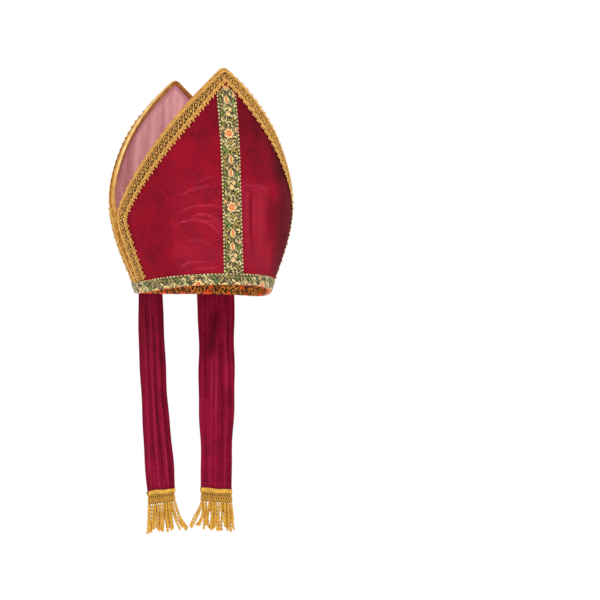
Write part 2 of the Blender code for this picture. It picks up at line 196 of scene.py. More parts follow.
def table_at(table, row, column):
    """Values between the rows and columns of a table, blended in a straight line each way."""
    i = np.clip(row.astype(int), 0, table.shape[0] - 2)
    j = np.clip(column.astype(int), 0, table.shape[1] - 2)
    u, v = row - i, column - j
    if table.ndim == 3:
        u, v = u[..., None], v[..., None]
    near = (1 - u) * table[i, j] + u * table[i + 1, j]
    far = (1 - u) * table[i, j + 1] + u * table[i + 1, j + 1]
    return (1 - v) * near + v * far


def distances(points):
    """Distances along a line of points from its first."""
    return np.concatenate([[0.0], np.cumsum(np.linalg.norm(np.diff(points, axis=0), axis=1))])


def stack(*parts):
    """Arrays, or numbers, side by side in rows of the last axis."""
    return np.stack(np.broadcast_arrays(*parts), axis=-1)


def together(*parts):
    """Arrays of one shape from arrays or numbers."""
    return np.broadcast_arrays(*(np.asarray(part, float) for part in parts))


# How far the panels' edges stand back from the side seams, at the foot and at the shoulder.
FOOT_GAP, SHOULDER_GAP = 0.0018, 0.0036
# The rim's arc: its rise in the middle, and its fall at the wearer's left and right seams.
RIM_RISE, LEFT_FALL, RIGHT_FALL = 0.0025, 0.0060, 0.0030


class Form:
    """The formed mitre: flat pattern points are wrapped round its sections."""

    def __init__(self, sizes):
        self.sizes = sizes
        upper = (sizes.shoulder_height + sizes.apex_height) / 2
        self.heights = np.array([0.0, sizes.shoulder_height, upper, sizes.apex_height])
        levels = ("rim", "shoulder", "upper", "apex")
        self.widths, self.depths = (
            np.array([getattr(sizes, f"{level}_{way}") for level in levels]) / 2 for way in ("width", "depth")
        )
        self.knots = np.linspace(0, sizes.apex_height, 241)
        a, b = self.half_sizes(self.knots[:, None])
        turn = np.linspace(0, math.pi / 2 * 1.08, 200)
        speed = np.hypot(a * np.cos(turn), b * np.sin(turn))
        run = np.cumsum((speed[:, 1:] + speed[:, :-1]) / 2 * np.diff(turn), axis=1)
        run = np.concatenate([np.zeros((len(self.knots), 1)), run], axis=1)
        self.arcs = np.linspace(0, run.max(), 321)
        self.turns = np.stack([np.interp(self.arcs, row, turn) for row in run])
        self.quarters = np.array([np.interp(math.pi / 2, turn, row) for row in run])
        self.make_outline()

    def half_sizes(self, z):
        """Half the width and half the depth at heights."""
        return level_curve(self.heights, self.widths, z), level_curve(self.heights, self.depths, z)

    def quarter(self, z):
        """A quarter of the way round at heights."""
        return np.interp(z, self.knots, self.quarters)

    def wrap(self, side, arc, z, lift):
        """Points of the pattern formed into the mitre, lifted outwards from its outer face."""
        arc, z, lift = together(arc, z, lift)
        top = self.heights[-1]
        level = np.clip(z, 0, top)
        # The lower edge was cut in an arc, so the rim is higher in the middle than at the seams.
        turned = np.clip(np.abs(arc) / self.quarter(level), 0, 1) ** 1.6
        seam = 0.5 - 0.5 * np.cos(math.pi * turned)
        dip = RIM_RISE - (RIM_RISE + np.where(arc > 0, LEFT_FALL, RIGHT_FALL)) * seam
        low = z + dip * (1 - smoothstep(0.012, 0.085, z))
        row = level / top * (len(self.knots) - 1)
        column = np.clip(np.abs(arc) / self.arcs[-1], 0, 1) * (len(self.arcs) - 1)
        turn = np.copysign(table_at(self.turns, row, column), arc)
        a, b = self.half_sizes(level)
        nx, ny = np.sin(turn) / a, np.cos(turn) / b
        size = np.hypot(nx, ny)
        x = a * np.sin(turn) + lift * nx / size
        y = b * np.cos(turn) + lift * ny / size
        return np.stack([x, side * y, low], axis=-1)

    def make_outline(self):
        """A table of the panel's outline at insets from 3 mm outside to 24 mm inside: a straight
        flank, a round shoulder, the long crest and the rounded tip."""
        sizes = self.sizes
        foot = np.array([self.quarter(0.0) - FOOT_GAP, 0.0])
        shoulder_arc = self.quarter(sizes.shoulder_height) - SHOULDER_GAP
        corner = np.array([shoulder_arc, sizes.shoulder_height])
        apex = np.array([0.0, sizes.apex_height])
        along = (corner - foot) / np.linalg.norm(corner - foot)
        inward = np.array([-along[1], along[0]])
        chord = apex - corner
        half = np.linalg.norm(chord) / 2
        side = np.array([-chord[1], chord[0]]) / (2 * half)
        centre = (corner + apex) / 2 + side * math.sqrt(sizes.crest_radius**2 - half**2)
        start = foot + inward * sizes.shoulder_radius - centre
        b = float(start @ along)
        c = float(start @ start) - (sizes.crest_radius - sizes.shoulder_radius) ** 2
        shoulder = centre + start + along * (-b + math.sqrt(b * b - c))
        crest_turn = math.atan2(*(shoulder - centre)[::-1])
        flank_turn = math.atan2(*-inward[::-1])
        self.insets = np.linspace(-0.003, 0.024, 55)
        self.stations = np.linspace(0, TIP, 4 * PART + 1)
        steps = self.stations[: PART + 1, None]

        def bow(middle, radius, first, last):
            turn = first + (last - first) * steps
            return middle + radius * np.concatenate([np.cos(turn), np.sin(turn)], 1)

        rows = []
        for inset in self.insets:
            low = foot + inward * inset
            low = low - along * low[1] / along[1]
            bend = bow(shoulder, sizes.shoulder_radius - inset, flank_turn, crest_turn)
            flank = low + (bend[0] - low) * steps
            reach = sizes.crest_radius - max(inset, sizes.tip_radius)
            end = np.array([0.0, centre[1] + math.sqrt(reach**2 - centre[0] ** 2)])
            end_turn = math.atan2(*(end - centre)[::-1])
            crest = bow(centre, sizes.crest_radius - inset, crest_turn, end_turn)
            tip = bow(end, max(sizes.tip_radius - inset, 0.0), end_turn, math.pi / 2)
            rows.append(np.concatenate([flank[:-1], bend[:-1], crest[:-1], tip]))
        self.outline = np.array(rows)

    def edge(self, station, inset):
        """Pattern points (arc, height) at a station of the outline, inset from the edge. Negative
        stations are on the other half."""
        station, inset = together(station, inset)
        share = (inset - self.insets[0]) / (self.insets[-1] - self.insets[0])
        row = np.clip(share, 0, 1) * (len(self.insets) - 1)
        column = np.clip(np.abs(station) / TIP, 0, 1) * (len(self.stations) - 1)
        spot = table_at(self.outline, row, column)
        return np.copysign(np.abs(spot[..., 0]), station), spot[..., 1]

    def edge_run(self, inset, foot):
        """Stations and their distances along one half of the inset outline, from a height up."""
        arc, height = self.edge(self.stations, inset)
        run = distances(stack(arc, height))
        return self.stations, run - np.interp(foot, height[: PART + 1], run[: PART + 1])


# Cloth relief

# Creases of the velvet, in mm of the pattern: the panel's side, three points as distance from
# the middle line and height, the width, how far it stands out, and the painted light along it:
# a painted highlight where positive and painted shade where negative.
CREASES = (
    # side, s0, z0, s1, z1, s2, z2, width, stand, light
    (FRONT, -82, 99, -50, 112, -14, 108, 1.0, 0.40, 0.48),
    (FRONT, -60, 95, -38, 99, -12, 83, 1.1, 0.45, 0.57),
    (FRONT, -92, 81, -48, 91, -14, 66, 1.1, 0.50, 0.66),
    (FRONT, -44, 88, -30, 90, -13, 76, 0.9, 0.35, 0.44),
    (FRONT, -76, 124, -56, 135, -30, 139, 1.4, 0.30, 0.34),
    (FRONT, -52, 142, -38, 150, -24, 153, 1.2, 0.25, 0.22),
    (FRONT, -74, 22, -64, 32, -34, 30, 1.2, 0.30, 0.40),
    (FRONT, -60, 24, -40, 22, -24, 24, 1.4, 0.30, 0.31),
    (FRONT, -70, 60, -50, 64, -34, 56, 1.8, 0.30, 0.22),
    (FRONT, 32, 137, 30, 95, 31, 52, 1.3, -0.95, -0.75),
    (FRONT, 37, 128, 36, 100, 36, 70, 1.6, 0.40, 0.16),
    (FRONT, 25, 134, 22, 95, 25, 40, 3.0, 0.40, 0.12),
    (FRONT, 47, 136, 46, 95, 44, 30, 4.0, 0.50, 0.08),
    (FRONT, 62, 178, 66, 120, 60, 40, 5.0, -0.45, -0.08),
    (FRONT, 78, 150, 80, 110, 70, 50, 3.0, 0.35, 0.10),
    (FRONT, 20, 181, 42, 176, 66, 164, 1.6, 0.20, 0.14),
    (FRONT, 16, 141, 40, 141, 74, 134, 1.6, 0.20, 0.16),
    (BACK, -30, 112, -38, 60, -52, 8, 2.2, 0.45, 0.10),
    (BACK, -42, 104, -50, 60, -64, 8, 2.2, 0.45, 0.12),
    (BACK, -56, 92, -66, 50, -78, 12, 2.6, 0.45, 0.10),
    (BACK, 92, 44, 84, 30, 80, 16, 4.0, 0.40, 0.12),
)
# Crushed streaks of the pile, painted pale as a painted sheen, in the same columns as far as the
# width, and how pale they are.
STREAKS = (
    (BACK, -20, 232, -5, 130, 3, 8, 2.7, 0.62),
    (BACK, -34, 236, -28, 160, -23, 100, 2.2, 0.46),
)
# Painted light and shade on the pile, lighter where light falls and darker where it turns away:
# the side, the middle, the reach across and up, how soft the border is, all in mm, and the change.
PAINTED_LIGHT_PATCHES = (
    (FRONT, 36, 84, 20, 52, 24, 0.06), (FRONT, 58, 80, 16, 48, 40, 0.05), (FRONT, 60, 205, 60, 46, 16, -0.24),
    (FRONT, 126, 120, 24, 90, 40, -0.70), (FRONT, -50, 34, 30, 10, 24, 0.08),
    (FRONT, -60, 92, 40, 34, 34, 0.04), (FRONT, 0, 280, 60, 40, 60, -0.30),
    (FRONT, -114, 90, 14, 70, 20, -0.16), (BACK, -112, 110, 46, 130, 66, -0.55),
    (BACK, -20, 250, 60, 50, 60, -0.26), (BACK, 78, 80, 40, 70, 40, 0.06),
    (BACK, 0, 120, 140, 200, 40, -0.08), (BACK, -80, 70, 24, 100, 46, -0.25),
)


def near_curve(s, z, s0, z0, s1, z1, s2, z2):
    """How far points lie from a curve through three points, and where along it, 0 to 1."""
    t = np.linspace(0, 1, 41)
    # The middle point lies on the curve, so the control point is beyond it.
    cs, cz = 2 * s1 - (s0 + s2) / 2, 2 * z1 - (z0 + z2) / 2
    ps = (1 - t) ** 2 * s0 + 2 * t * (1 - t) * cs + t**2 * s2
    pz = (1 - t) ** 2 * z0 + 2 * t * (1 - t) * cz + t**2 * z2
    near, where = np.full(s.shape, 1e9), np.zeros(s.shape)
    reach = 16
    box = (s > ps.min() - reach) & (s < ps.max() + reach) & (z > pz.min() - reach) & (z < pz.max() + reach)
    if box.any():
        gap = np.hypot(s[box][:, None] - ps, z[box][:, None] - pz)
        near[box] = gap.min(axis=1)
        where[box] = t[gap.argmin(axis=1)]
    return near, where


def velvet_relief(side, arc, height):
    """How far the pile stands out of the form, its painted light and shade, -1 to 1, and how crushed it is,
    for a painted pale sheen.
    """
    s, z = np.asarray(arc) / MM, np.asarray(height) / MM
    stand, light, crushed = np.zeros(s.shape), np.zeros(s.shape), np.zeros(s.shape)
    for crease_side, *curve, width, rise, tone in CREASES:
        if crease_side == side:
            near, where = near_curve(s, z, *curve)
            fade = smoothstep(0, 0.22, where) * (1 - smoothstep(0.72, 1.0, where) * 0.75)
            stand += rise * bell(near, width * 1.3) * fade
            light += tone * bell(near, width) * fade
    for streak_side, *curve, width, pale in STREAKS:
        if streak_side == side:
            near, where = near_curve(s, z, *curve)
            fade = smoothstep(0, 0.15, where) * (1 - smoothstep(0.80, 1.0, where))
            crushed += pale * bell(near, width * (1.0 + 0.4 * np.sin(z / 21.0))) * fade
    for zone_side, middle, level, across, up, soft, tone in PAINTED_LIGHT_PATCHES:
        if zone_side == side:
            gap = np.maximum(np.abs(s - middle - 4 * np.sin(z / 19.0)) - across, 0) ** 2
            gap = np.sqrt(gap + np.maximum(np.abs(z - level - 3 * np.sin(s / 13.0)) - up, 0) ** 2)
            light += tone * (1 - smoothstep(0, soft, gap))
    wave = 0.35 * np.sin(s / 17.0 + side) * np.sin(z / 29.0 + 0.7) + 0.25 * np.sin(s / 8.3 - z / 41.0)
    return (stand + wave) * MM, np.clip(light, -1, 1), np.clip(crushed, 0, 1)


# Meshes


def mesh_object(name, points, faces, uv, marks=None):
    """An object from arrays: faces as arrays of their corners, uv a row for each vertex, and marks
    as vertex attributes with three numbers each."""
    mesh = bpy.data.meshes.new(name)
    sizes = np.concatenate([np.full(len(f), f.shape[1]) for f in faces])
    corners = np.concatenate([f.reshape(-1) for f in faces]).astype(np.int32)
    mesh.vertices.add(len(points))
    mesh.vertices.foreach_set("co", np.ascontiguousarray(points, dtype=np.float32).reshape(-1))
    mesh.loops.add(len(corners))
    mesh.loops.foreach_set("vertex_index", corners)
    mesh.polygons.add(len(sizes))
    mesh.polygons.foreach_set("loop_start", (np.cumsum(sizes) - sizes).astype(np.int32))
    mesh.update(calc_edges=True)
    layer = mesh.uv_layers.new(name="cloth")
    layer.data.foreach_set("uv", np.asarray(uv, np.float32)[corners].reshape(-1))
    for mark, values in (marks or {}).items():
        attribute = mesh.attributes.new(mark, "FLOAT_COLOR", "POINT")
        full = np.ones((len(points), 4), np.float32)
        full[:, :3] = values
        attribute.data.foreach_set("color", full.reshape(-1))
    mesh.shade_smooth()
    mesh.validate()
    made = bpy.data.objects.new(name, mesh)
    bpy.context.scene.collection.objects.link(made)
    return made


def quads(rows, columns, close_rows=False, close_columns=False):
    """Quads between the points of a grid, closed into a tube one way on request."""
    r = np.arange(rows if close_rows else rows - 1)[:, None]
    c = np.arange(columns if close_columns else columns - 1)[None]
    below, right = (r + 1) % rows, (c + 1) % columns
    corners = (r * columns + c, r * columns + right, below * columns + right, below * columns + c)
    return np.stack(corners, axis=-1).reshape(-1, 4)


def grid_object(name, points, uv, marks=None, flip=False, close_rows=False):
    faces = quads(*points.shape[:2], close_rows)
    faces = faces[:, ::-1] if flip else faces
    marks = {k: v.reshape(-1, 3) for k, v in (marks or {}).items()}
    return mesh_object(name, points.reshape(-1, 3), [faces], uv.reshape(-1, 2), marks)


def thicken(piece, thickness):
    """Gives a sheet its wall, grown inwards from the face that shows."""
    wall = piece.modifiers.new("wall", "SOLIDIFY")
    wall.thickness = thickness
    wall.offset = -1.0


def place_piece(piece, material):
    piece.data.materials.append(material)
    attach(piece, "root")


def finish_piece(piece, material, slot, *nodes):
    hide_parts(*nodes)
    place_piece(piece, material)


def with_normals(wrap, above):
    """Points that lie above a cloth, and the directions away from it."""
    spots = wrap(above)
    outs = wrap(above + MM) - spots
    return spots, outs / np.linalg.norm(outs, axis=1, keepdims=True)


def tubes(name, runs, radii, sides, twist=0.0, pitch=1.0):
    """Threads as tubes along runs of (points, normals), each with a radius or one for each of its
    points, and with two plies where twist is given."""
    points, uvs, faces, first = [], [], [], 0
    corners = np.arange(sides)[None]
    angles = corners[0] / sides * 2 * math.pi
    for (spots, normals), radius in zip(runs, radii):
        tangent = np.gradient(spots, axis=0)
        tangent /= np.linalg.norm(tangent, axis=1, keepdims=True) + 1e-12
        across = np.cross(tangent, normals)
        across /= np.linalg.norm(across, axis=1, keepdims=True) + 1e-12
        up = np.cross(across, tangent)
        run = distances(spots)[:, None]
        size = np.broadcast_to(radius, len(spots))[:, None]
        swell = size * (1 + twist * np.cos(2 * angles - run / pitch * 2 * math.pi))
        c, s = np.cos(angles)[:, None], np.sin(angles)[:, None]
        ring = spots[:, None] + swell[..., None] * (c * up[:, None] + s * across[:, None])
        points.append(ring.reshape(-1, 3))
        uvs.append(stack(run, angles * size).reshape(-1, 2))
        faces.append(quads(len(spots), sides, close_columns=True) + first)
        last = first + (len(spots) - 1) * sides
        faces += [first + corners[:, ::-1], last + corners]
        first = last + sides
    return mesh_object(name, np.concatenate(points), faces, np.concatenate(uvs))


# Brocade

# One repeat of the ribbon's pattern, 104 mm long and 29 mm wide, in mm along and across. Scrolls
# are hooks: the outer and inner radius, the first angle, the turn, the weight, and the share of
# pale thread.
SCROLLS = (
    # along, across, outer, inner, start, turn, width, tone
    (10, 5.8, 4.4, 1.5, 200, 330, 0.95, 0.8),
    (13, 21.5, 4.6, 1.5, 20, -330, 0.95, 0.5),
    (24, 22.5, 4.6, 1.5, 100, 330, 1.0, 0.2),
    (20, 13.5, 4.4, 1.4, 60, -340, 0.95, 0.9),
    (32, 6.0, 4.4, 1.6, 250, 320, 1.05, 0.2),
    (35, 22.8, 4.0, 1.4, 300, -330, 1.0, 1.0),
    (47, 6.2, 4.4, 1.5, 60, 340, 0.95, 0.3),
    (48, 21.0, 4.4, 1.5, 160, -340, 1.0, 0.9),
    (64, 22.6, 4.2, 1.4, 10, 330, 0.95, 0.9),
    (67, 6.2, 4.6, 1.5, 220, -340, 1.0, 0.4),
    (81, 22.0, 4.4, 1.4, 330, 330, 1.0, 1.0),
    (84, 7.0, 4.8, 1.6, 120, -350, 1.0, 0.8),
    (91, 15.0, 4.2, 1.3, 30, 340, 0.95, 0.7),
)
# Open blossoms: the radius, how many petals, the turn, and where the heart ends and the pale
# petals begin, as a share of the radius.
BLOSSOMS = (
    # along, across, radius, petals, turn, heart
    (1.0, 13.5, 9.0, 7, 10, 0.50),
    (70.5, 17.5, 3.6, 5, 0, 0.25),
    (77.0, 14.0, 4.4, 5, 36, 0.20),
)
# Tulips, with a coloured petal between two pale ones: their length, their width and their turn.
TULIPS = (
    # along, across, length, width, turn
    (37.5, 14.5, 13.0, 8.6, 0), (56.5, 13.8, 13.0, 8.0, 4), (99.5, 23.0, 8.5, 4.6, -24),
    (-5.0, 4.8, 10.0, 4.4, 8), (50.0, 24.2, 8.0, 4.2, -8),
)
LEAVES = (
    # along, across, length, width, turn, green
    (14.5, 15.0, 8.0, 3.6, 65, 0.1), (22.5, 4.6, 9.0, 4.2, 20, 1.0), (27.5, 8.8, 7.5, 3.4, -35, 0.9),
    (27.0, 16.5, 9.0, 3.8, -30, 0.15), (29.0, 24.2, 8.0, 3.6, 15, 0.3), (43.5, 4.4, 8.0, 3.4, -15, 0.1),
    (57.5, 4.8, 8.0, 3.6, 20, 0.6), (59.0, 23.4, 8.5, 3.8, -25, 1.0), (73.0, 24.2, 8.0, 4.0, 20, 1.0),
    (75.0, 5.0, 8.5, 3.6, 30, 0.9), (86.0, 20.5, 8.0, 3.2, -45, 0.2), (92.5, 6.4, 7.5, 3.4, -20, 0.5),
)
# Straight strokes: their length and their turn.
STROKES = (
    # along, across, length, turn
    (-6.5, 18.5, 7.0, -38), (-3.5, 21.5, 7.5, -50), (0.5, 23.2, 6.5, -70), (5.5, 22.0, 6.5, 70),
    (-8.5, 13.0, 6.0, -8), (9.5, 14.0, 6.5, 35), (10.5, 10.0, 6.0, -30), (17.0, 19.0, 7.0, -40),
    (19.0, 8.5, 6.5, 30), (31.0, 12.0, 6.0, 50), (41.0, 21.5, 7.0, 20), (42.0, 8.0, 6.0, -25),
    (52.0, 8.5, 6.0, 25), (60.5, 19.8, 6.0, -20), (62.5, 9.5, 6.0, 35), (70.0, 11.5, 6.0, -60),
    (79.5, 18.8, 5.5, 50), (88.5, 10.5, 6.0, 40), (96.0, 19.5, 6.0, 25),
)
WEB_LENGTH, WEB_WIDTH = 104.0, 29.0


def petal_edge(du, dv, size, breadth, turn):
    """Where points lie in a pointed petal: under 1 inside, and more than 1 outside."""
    a = (du * math.cos(turn) + dv * math.sin(turn)) / (size / 2)
    b = (dv * math.cos(turn) - du * math.sin(turn)) / (breadth / 2)
    return np.where(np.abs(a) < 1.1, np.abs(b) / np.maximum(1.02 - a * a, 0.02), 9.0)


def inside_and_halo(edge, first, second, third):
    """A motif's own area, and that area with the clear ground round it."""
    return 1 - smoothstep(first, second, edge), 1 - smoothstep(second, third, edge)


def small_scrolls(u, v):
    """The small scrolls between the large ones: the nodal lines of a few crossed waves."""
    rng = np.random.default_rng(5)
    wave = np.zeros(u.shape)
    reach = 2 * math.pi / 5.6
    for way in np.linspace(0, math.pi, 9, endpoint=False):
        turns = round(reach * math.cos(way) * WEB_LENGTH / (2 * math.pi)) * 2 * math.pi / WEB_LENGTH
        wave += np.sin(turns * u + math.sqrt(max(reach**2 - turns**2, 0)) * v + rng.uniform(0, 6.28))
    return 1 - smoothstep(0.55, 1.0, np.abs(wave))


def brocade(along, across, trims, aside=0.0, plain=0.0):
    """What is woven at places of the ribbon: three masks for pale scroll, blossom and leaf, and
    three more for straw thread, the dark outline and the relief. aside is how far the pattern lies
    off the middle, in mm, and plain is 1 for a border of one straw line rather than dashes."""
    u = np.mod(along / trims.ribbon_repeat, 1.0) * WEB_LENGTH
    v = across / trims.ribbon_width * WEB_WIDTH
    shift = 0.40 * np.sin(u * 2 * math.pi / 5.2 + 2.1 * np.sin(v / 2.3)) * np.sin(v * 1.3 + 0.7)
    v = v + shift * smoothstep(2.0, 4.5, np.minimum(v, WEB_WIDTH - v))
    u = u + 0.40 * np.sin(v * 1.1 + 1.7 * np.sin(u * 2 * math.pi / 13.0))
    side = np.minimum(v, WEB_WIDTH - v)
    v = v - aside
    blossom, leaf, dark = np.zeros((3, *u.shape))

    def near(cu, cv):
        over = np.mod(v - cv + WEB_WIDTH / 2, WEB_WIDTH) - WEB_WIDTH / 2 if aside else v - cv
        return np.mod(u - cu + WEB_LENGTH / 2, WEB_LENGTH) - WEB_LENGTH / 2, over

    small = small_scrolls(u, v)
    olive = bell(near(22.0, 0)[0], 14.0) + 0.7 * bell(near(84.0, 0)[0], 9.0)
    pale, straw = small * (0.50 - 0.15 * olive), small * (0.35 + 0.55 * olive)
    for cu, cv, outer, inner, start, turn, weight, tone in SCROLLS:
        du, dv = near(cu, cv)
        reach = (np.abs(du) < outer + 3) & (np.abs(dv) < outer + 3)
        t = np.linspace(0, 1, 90)
        way = np.radians(start + turn * t)
        r = outer + (inner - outer) * t**0.8
        gap = np.hypot(du[reach][:, None] - r * np.cos(way), dv[reach][:, None] - r * np.sin(way))
        k = gap.argmin(axis=1)
        gap = gap[np.arange(len(k)), k]
        swell = weight * (0.40 + 0.62 * np.sin(math.pi * t[k] ** 0.7))
        mark = 1 - smoothstep(0.8, 1.25, gap / swell)
        clear = smoothstep(0.8, 1.5, gap - swell)
        pale[reach] = np.maximum(pale[reach] * clear, mark * tone)
        straw[reach] = np.maximum(straw[reach] * clear, mark * (1 - tone) * 1.4)
    for cu, cv, size, turn in STROKES:
        du, dv = near(cu, cv)
        c, s = math.cos(math.radians(turn)), math.sin(math.radians(turn))
        gap = np.hypot(np.maximum(np.abs(du * c + dv * s) - size / 2, 0), dv * c - du * s)
        clear = smoothstep(1.4, 2.0, gap)
        pale = np.maximum(pale * clear, 1 - smoothstep(0.65, 1.05, gap))
        straw = straw * clear
    for cu, cv, size, breadth, turn, green in LEAVES:
        edge = petal_edge(*near(cu, cv), size, breadth, math.radians(turn))
        inside, halo = inside_and_halo(edge, 0.75, 1.1, 1.7)
        pale, straw, leaf = (layer * (1 - halo) for layer in (pale, straw, leaf))
        leaf = np.maximum(leaf, inside * green)
        straw = np.maximum(straw, inside * (1 - green) + inside * bell(edge, 0.22) * 0.7)
        dark = np.maximum(dark, halo) * (1 - inside)
    for cu, cv, size, breadth, turn in TULIPS:
        for tilt, share, heart in ((-36, 0.8, 0.0), (36, 0.8, 0.0), (0, 1.0, 1.0)):
            way = math.radians(turn + tilt)
            mu = cu + size / 2 - size * share / 2 * math.cos(way)
            mv = cv - size * share / 2 * math.sin(way)
            edge = petal_edge(*near(mu, mv), size * share, breadth * (0.75 + 0.25 * heart), way)
            inside, halo = inside_and_halo(edge, 0.85, 1.1, 2.0)
            pale, straw, leaf, blossom = (layer * (1 - halo) for layer in (pale, straw, leaf, blossom))
            blossom = np.maximum(blossom, inside * (0.25 + 0.55 * heart))
            pale = np.maximum(pale, inside * (1 - 0.85 * heart * (1 - smoothstep(0.40, 0.62, edge))))
            dark = np.maximum(dark, halo) * (1 - inside)
    for cu, cv, size, petals, turn, heart in BLOSSOMS:
        du, dv = near(cu, cv)
        way = np.arctan2(dv, du) + math.radians(turn)
        r = np.hypot(du, dv) / size / (0.64 + 0.36 * np.abs(np.cos(way * petals / 2)) ** 1.5)
        inside, halo = inside_and_halo(r, 0.88, 1.04, 1.35)
        pale, straw, leaf, blossom = (layer * (1 - halo) for layer in (pale, straw, leaf, blossom))
        blossom = np.maximum(blossom, inside)
        petal = smoothstep(heart, heart + 0.14, r + 0.10 * np.cos(way * petals))
        pale = np.maximum(pale, inside * np.maximum(0.90 * petal, 0.85 * bell(r, 0.16)))
        split = inside * bell(np.sin(way * petals / 2), 0.20) * smoothstep(0.30, 0.55, r)
        pale = pale * (1 - 0.9 * split)
        dark = np.maximum(dark * (1 - inside), np.maximum(split * 0.6, halo * (1 - inside)))
    # The border along each selvedge.
    dash = smoothstep(-0.10, 0.30, np.cos(u * 2 * math.pi / 5.2 + (v > WEB_WIDTH / 2) * 2.1))
    dash = (1 - smoothstep(1.5, 2.1, side)) * ((1 - plain) * dash + 0.15 * plain)
    warm = dash * smoothstep(0.0, 0.5, np.sin(u * 2 * math.pi / 26.0 + v))
    keep = 1 - smoothstep(1.8, 2.6, 4.2 - 1.4 * plain - side)
    line = plain * bell(side - 1.0, 0.7)
    pale = np.maximum(pale * keep, dash) * (1 - 0.30 * warm)
    leaf = leaf * keep
    straw = np.maximum(straw * keep, line)
    blossom = np.maximum(np.maximum(blossom * keep, warm * 0.8), 0.4 * line)
    shape = np.clip(pale + straw * 0.7 + leaf * 0.6 + blossom * 0.8, 0, 1)
    return stack(pale, blossom, leaf), stack(np.clip(straw, 0, 1), dark, shape), shape


# Materials


def add(tree, kind, inputs=None, **settings):
    """Adds a node, with its settings as keywords and its sockets' values or links by name."""
    node = tree.nodes.new("ShaderNode" + kind)
    for key, value in settings.items():
        setattr(node, key, value)
    for key, value in (inputs or {}).items():
        socket = node.inputs[key]
        if isinstance(value, bpy.types.NodeSocket):
            tree.links.new(value, socket)
        else:
            socket.default_value = value
    return node


def noise(tree, place, scale, detail, distortion=0.0):
    inputs = {"Scale": scale, "Detail": detail, "Distortion": distortion}
    if place is not None:
        inputs["Vector"] = place
    return add(tree, "TexNoise", inputs).outputs["Fac"]


def wave(tree, place, way, scale, distortion, detail, detail_scale=1.0):
    """Bands that lie 0.314 / scale metres apart, and twice as far when they are diagonal."""
    inputs = {"Vector": place, "Scale": scale, "Distortion": distortion, "Detail": detail,
              "Detail Scale": detail_scale}
    return add(tree, "TexWave", inputs, bands_direction=way).outputs["Fac"]


def stretched(tree, place, *scale):
    return add(tree, "Mapping", {"Vector": place, "Scale": (*scale, 1.0)}).outputs["Vector"]


def marks_of(tree, name):
    """The red, green and blue of a vertex attribute."""
    mark = add(tree, "Attribute", attribute_name=name).outputs["Color"]
    return add(tree, "SeparateColor", {"Color": mark}).outputs


def times(tree, value, factor, plus=0.0):
    return add(tree, "Math", {0: value, 1: factor, 2: plus}, operation="MULTIPLY_ADD").outputs[0]


def blend(tree, share, under, over, way="MIX"):
    node = add(tree, "Mix", {0: share, 6: under, 7: over}, data_type="RGBA", blend_type=way)
    return node.outputs[2]


def ramp(tree, value, *stops):
    """Greys between stops, each of them a place and a grey."""
    node = add(tree, "ValToRGB", {"Fac": value})
    for step, (place, grey) in zip(node.color_ramp.elements, stops):
        step.position = place
        step.color = (grey, grey, grey, 1.0)
    return node.outputs["Color"]


def new_material(name):
    made = bpy.data.materials.new(name)
    made.use_nodes = True
    return made, made.node_tree


def new_cloth(name):
    """A material, its node tree and its place in the flat pattern, in metres."""
    made, tree = new_material(name)
    return made, tree, add(tree, "UVMap", uv_map="cloth").outputs["UV"]


def finish_material(made, shade, values, height=None, strength=0.0, distance=0.0):
    """Gives a material its colour, its other values and the relief of a height."""
    tree = made.node_tree
    shader = tree.nodes["Principled BSDF"]
    tree.links.new(shade, shader.inputs["Base Color"])
    for key, value in values.items():
        shader.inputs[key].default_value = value
    if height is not None:
        bump = add(tree, "Bump", {"Strength": strength, "Distance": distance, "Height": height})
        tree.links.new(bump.outputs["Normal"], shader.inputs["Normal"])
    return made


def pile_velvet(name, light, deep):
    """Velvet, woven double and cut, so its pile stands up: deep where it is seen end on, pale and
    rosy where it lies flat or turns away, with fine cross ribs from the weft. The pile mark paints
    its highlight, shade and pale sheen, and tiny glints are painted too."""
    made, tree, place = new_cloth(name)
    pile = marks_of(tree, "pile")
    # Ribs 0.9 mm apart, drawn as 1.8 mm so that they show.
    ribs = wave(tree, place, "Y", 175.0, 1.6, 2.0, 60.0)
    # The warp's cords are 1.2 mm apart, drawn as 2.6 mm.
    cords = wave(tree, place, "X", 121.0, 1.2, 2.0, 30.0)
    nap = noise(tree, stretched(tree, place, 1.0, 5.0), 95.0, 5.0)
    tone = times(tree, noise(tree, place, 34.0, 4.0), 0.8)
    for part, share in ((nap, 0.7), (ribs, 0.16), (cords, 0.13)):
        tone = times(tree, part, share, tone)
    shade = blend(tree, ramp(tree, tone, (0.60, 0.0), (1.0, 1.0)), deep, light)
    # Painted shade: the pile mark's green darkens the creases' grooves and the patches that turn from the
    # light.
    shade = blend(tree, pile["Green"], shade, darker(deep, 0.35))
    rosy = (*(0.40 * c + 0.60 * r for c, r in zip(light[:3], linear("e04a66")[:3])), 1.0)
    # Painted highlight: the pile mark's red lightens the creases' crests and the lit patches towards rosy.
    shade = blend(tree, pile["Red"], shade, rosy)
    lines = noise(tree, stretched(tree, place, 1.0, 7.0), 160.0, 2.0)
    # Painted pale sheen along the crushed streaks, broken into fine lines.
    painted_shading = times(tree, pile["Blue"], ramp(tree, lines, (0.44, 0.08), (0.66, 1.0)))
    shade = blend(tree, painted_shading, shade, linear("a8708a"))
    # Painted glints: tiny pale sparkles scattered over the pile.
    painted_glints = noise(tree, place, 480.0, 2.0)
    shade = blend(tree, ramp(tree, painted_glints, (0.66, 0.0), (0.74, 0.55)), shade, rosy)
    values = {"Roughness": 0.9, "Specular IOR Level": 0.07, "Sheen Weight": 0.10,
              "Sheen Roughness": 0.35, "Sheen Tint": rosy}
    return finish_material(made, shade, values, times(tree, ribs, 0.6, nap), 0.35, 0.0006)


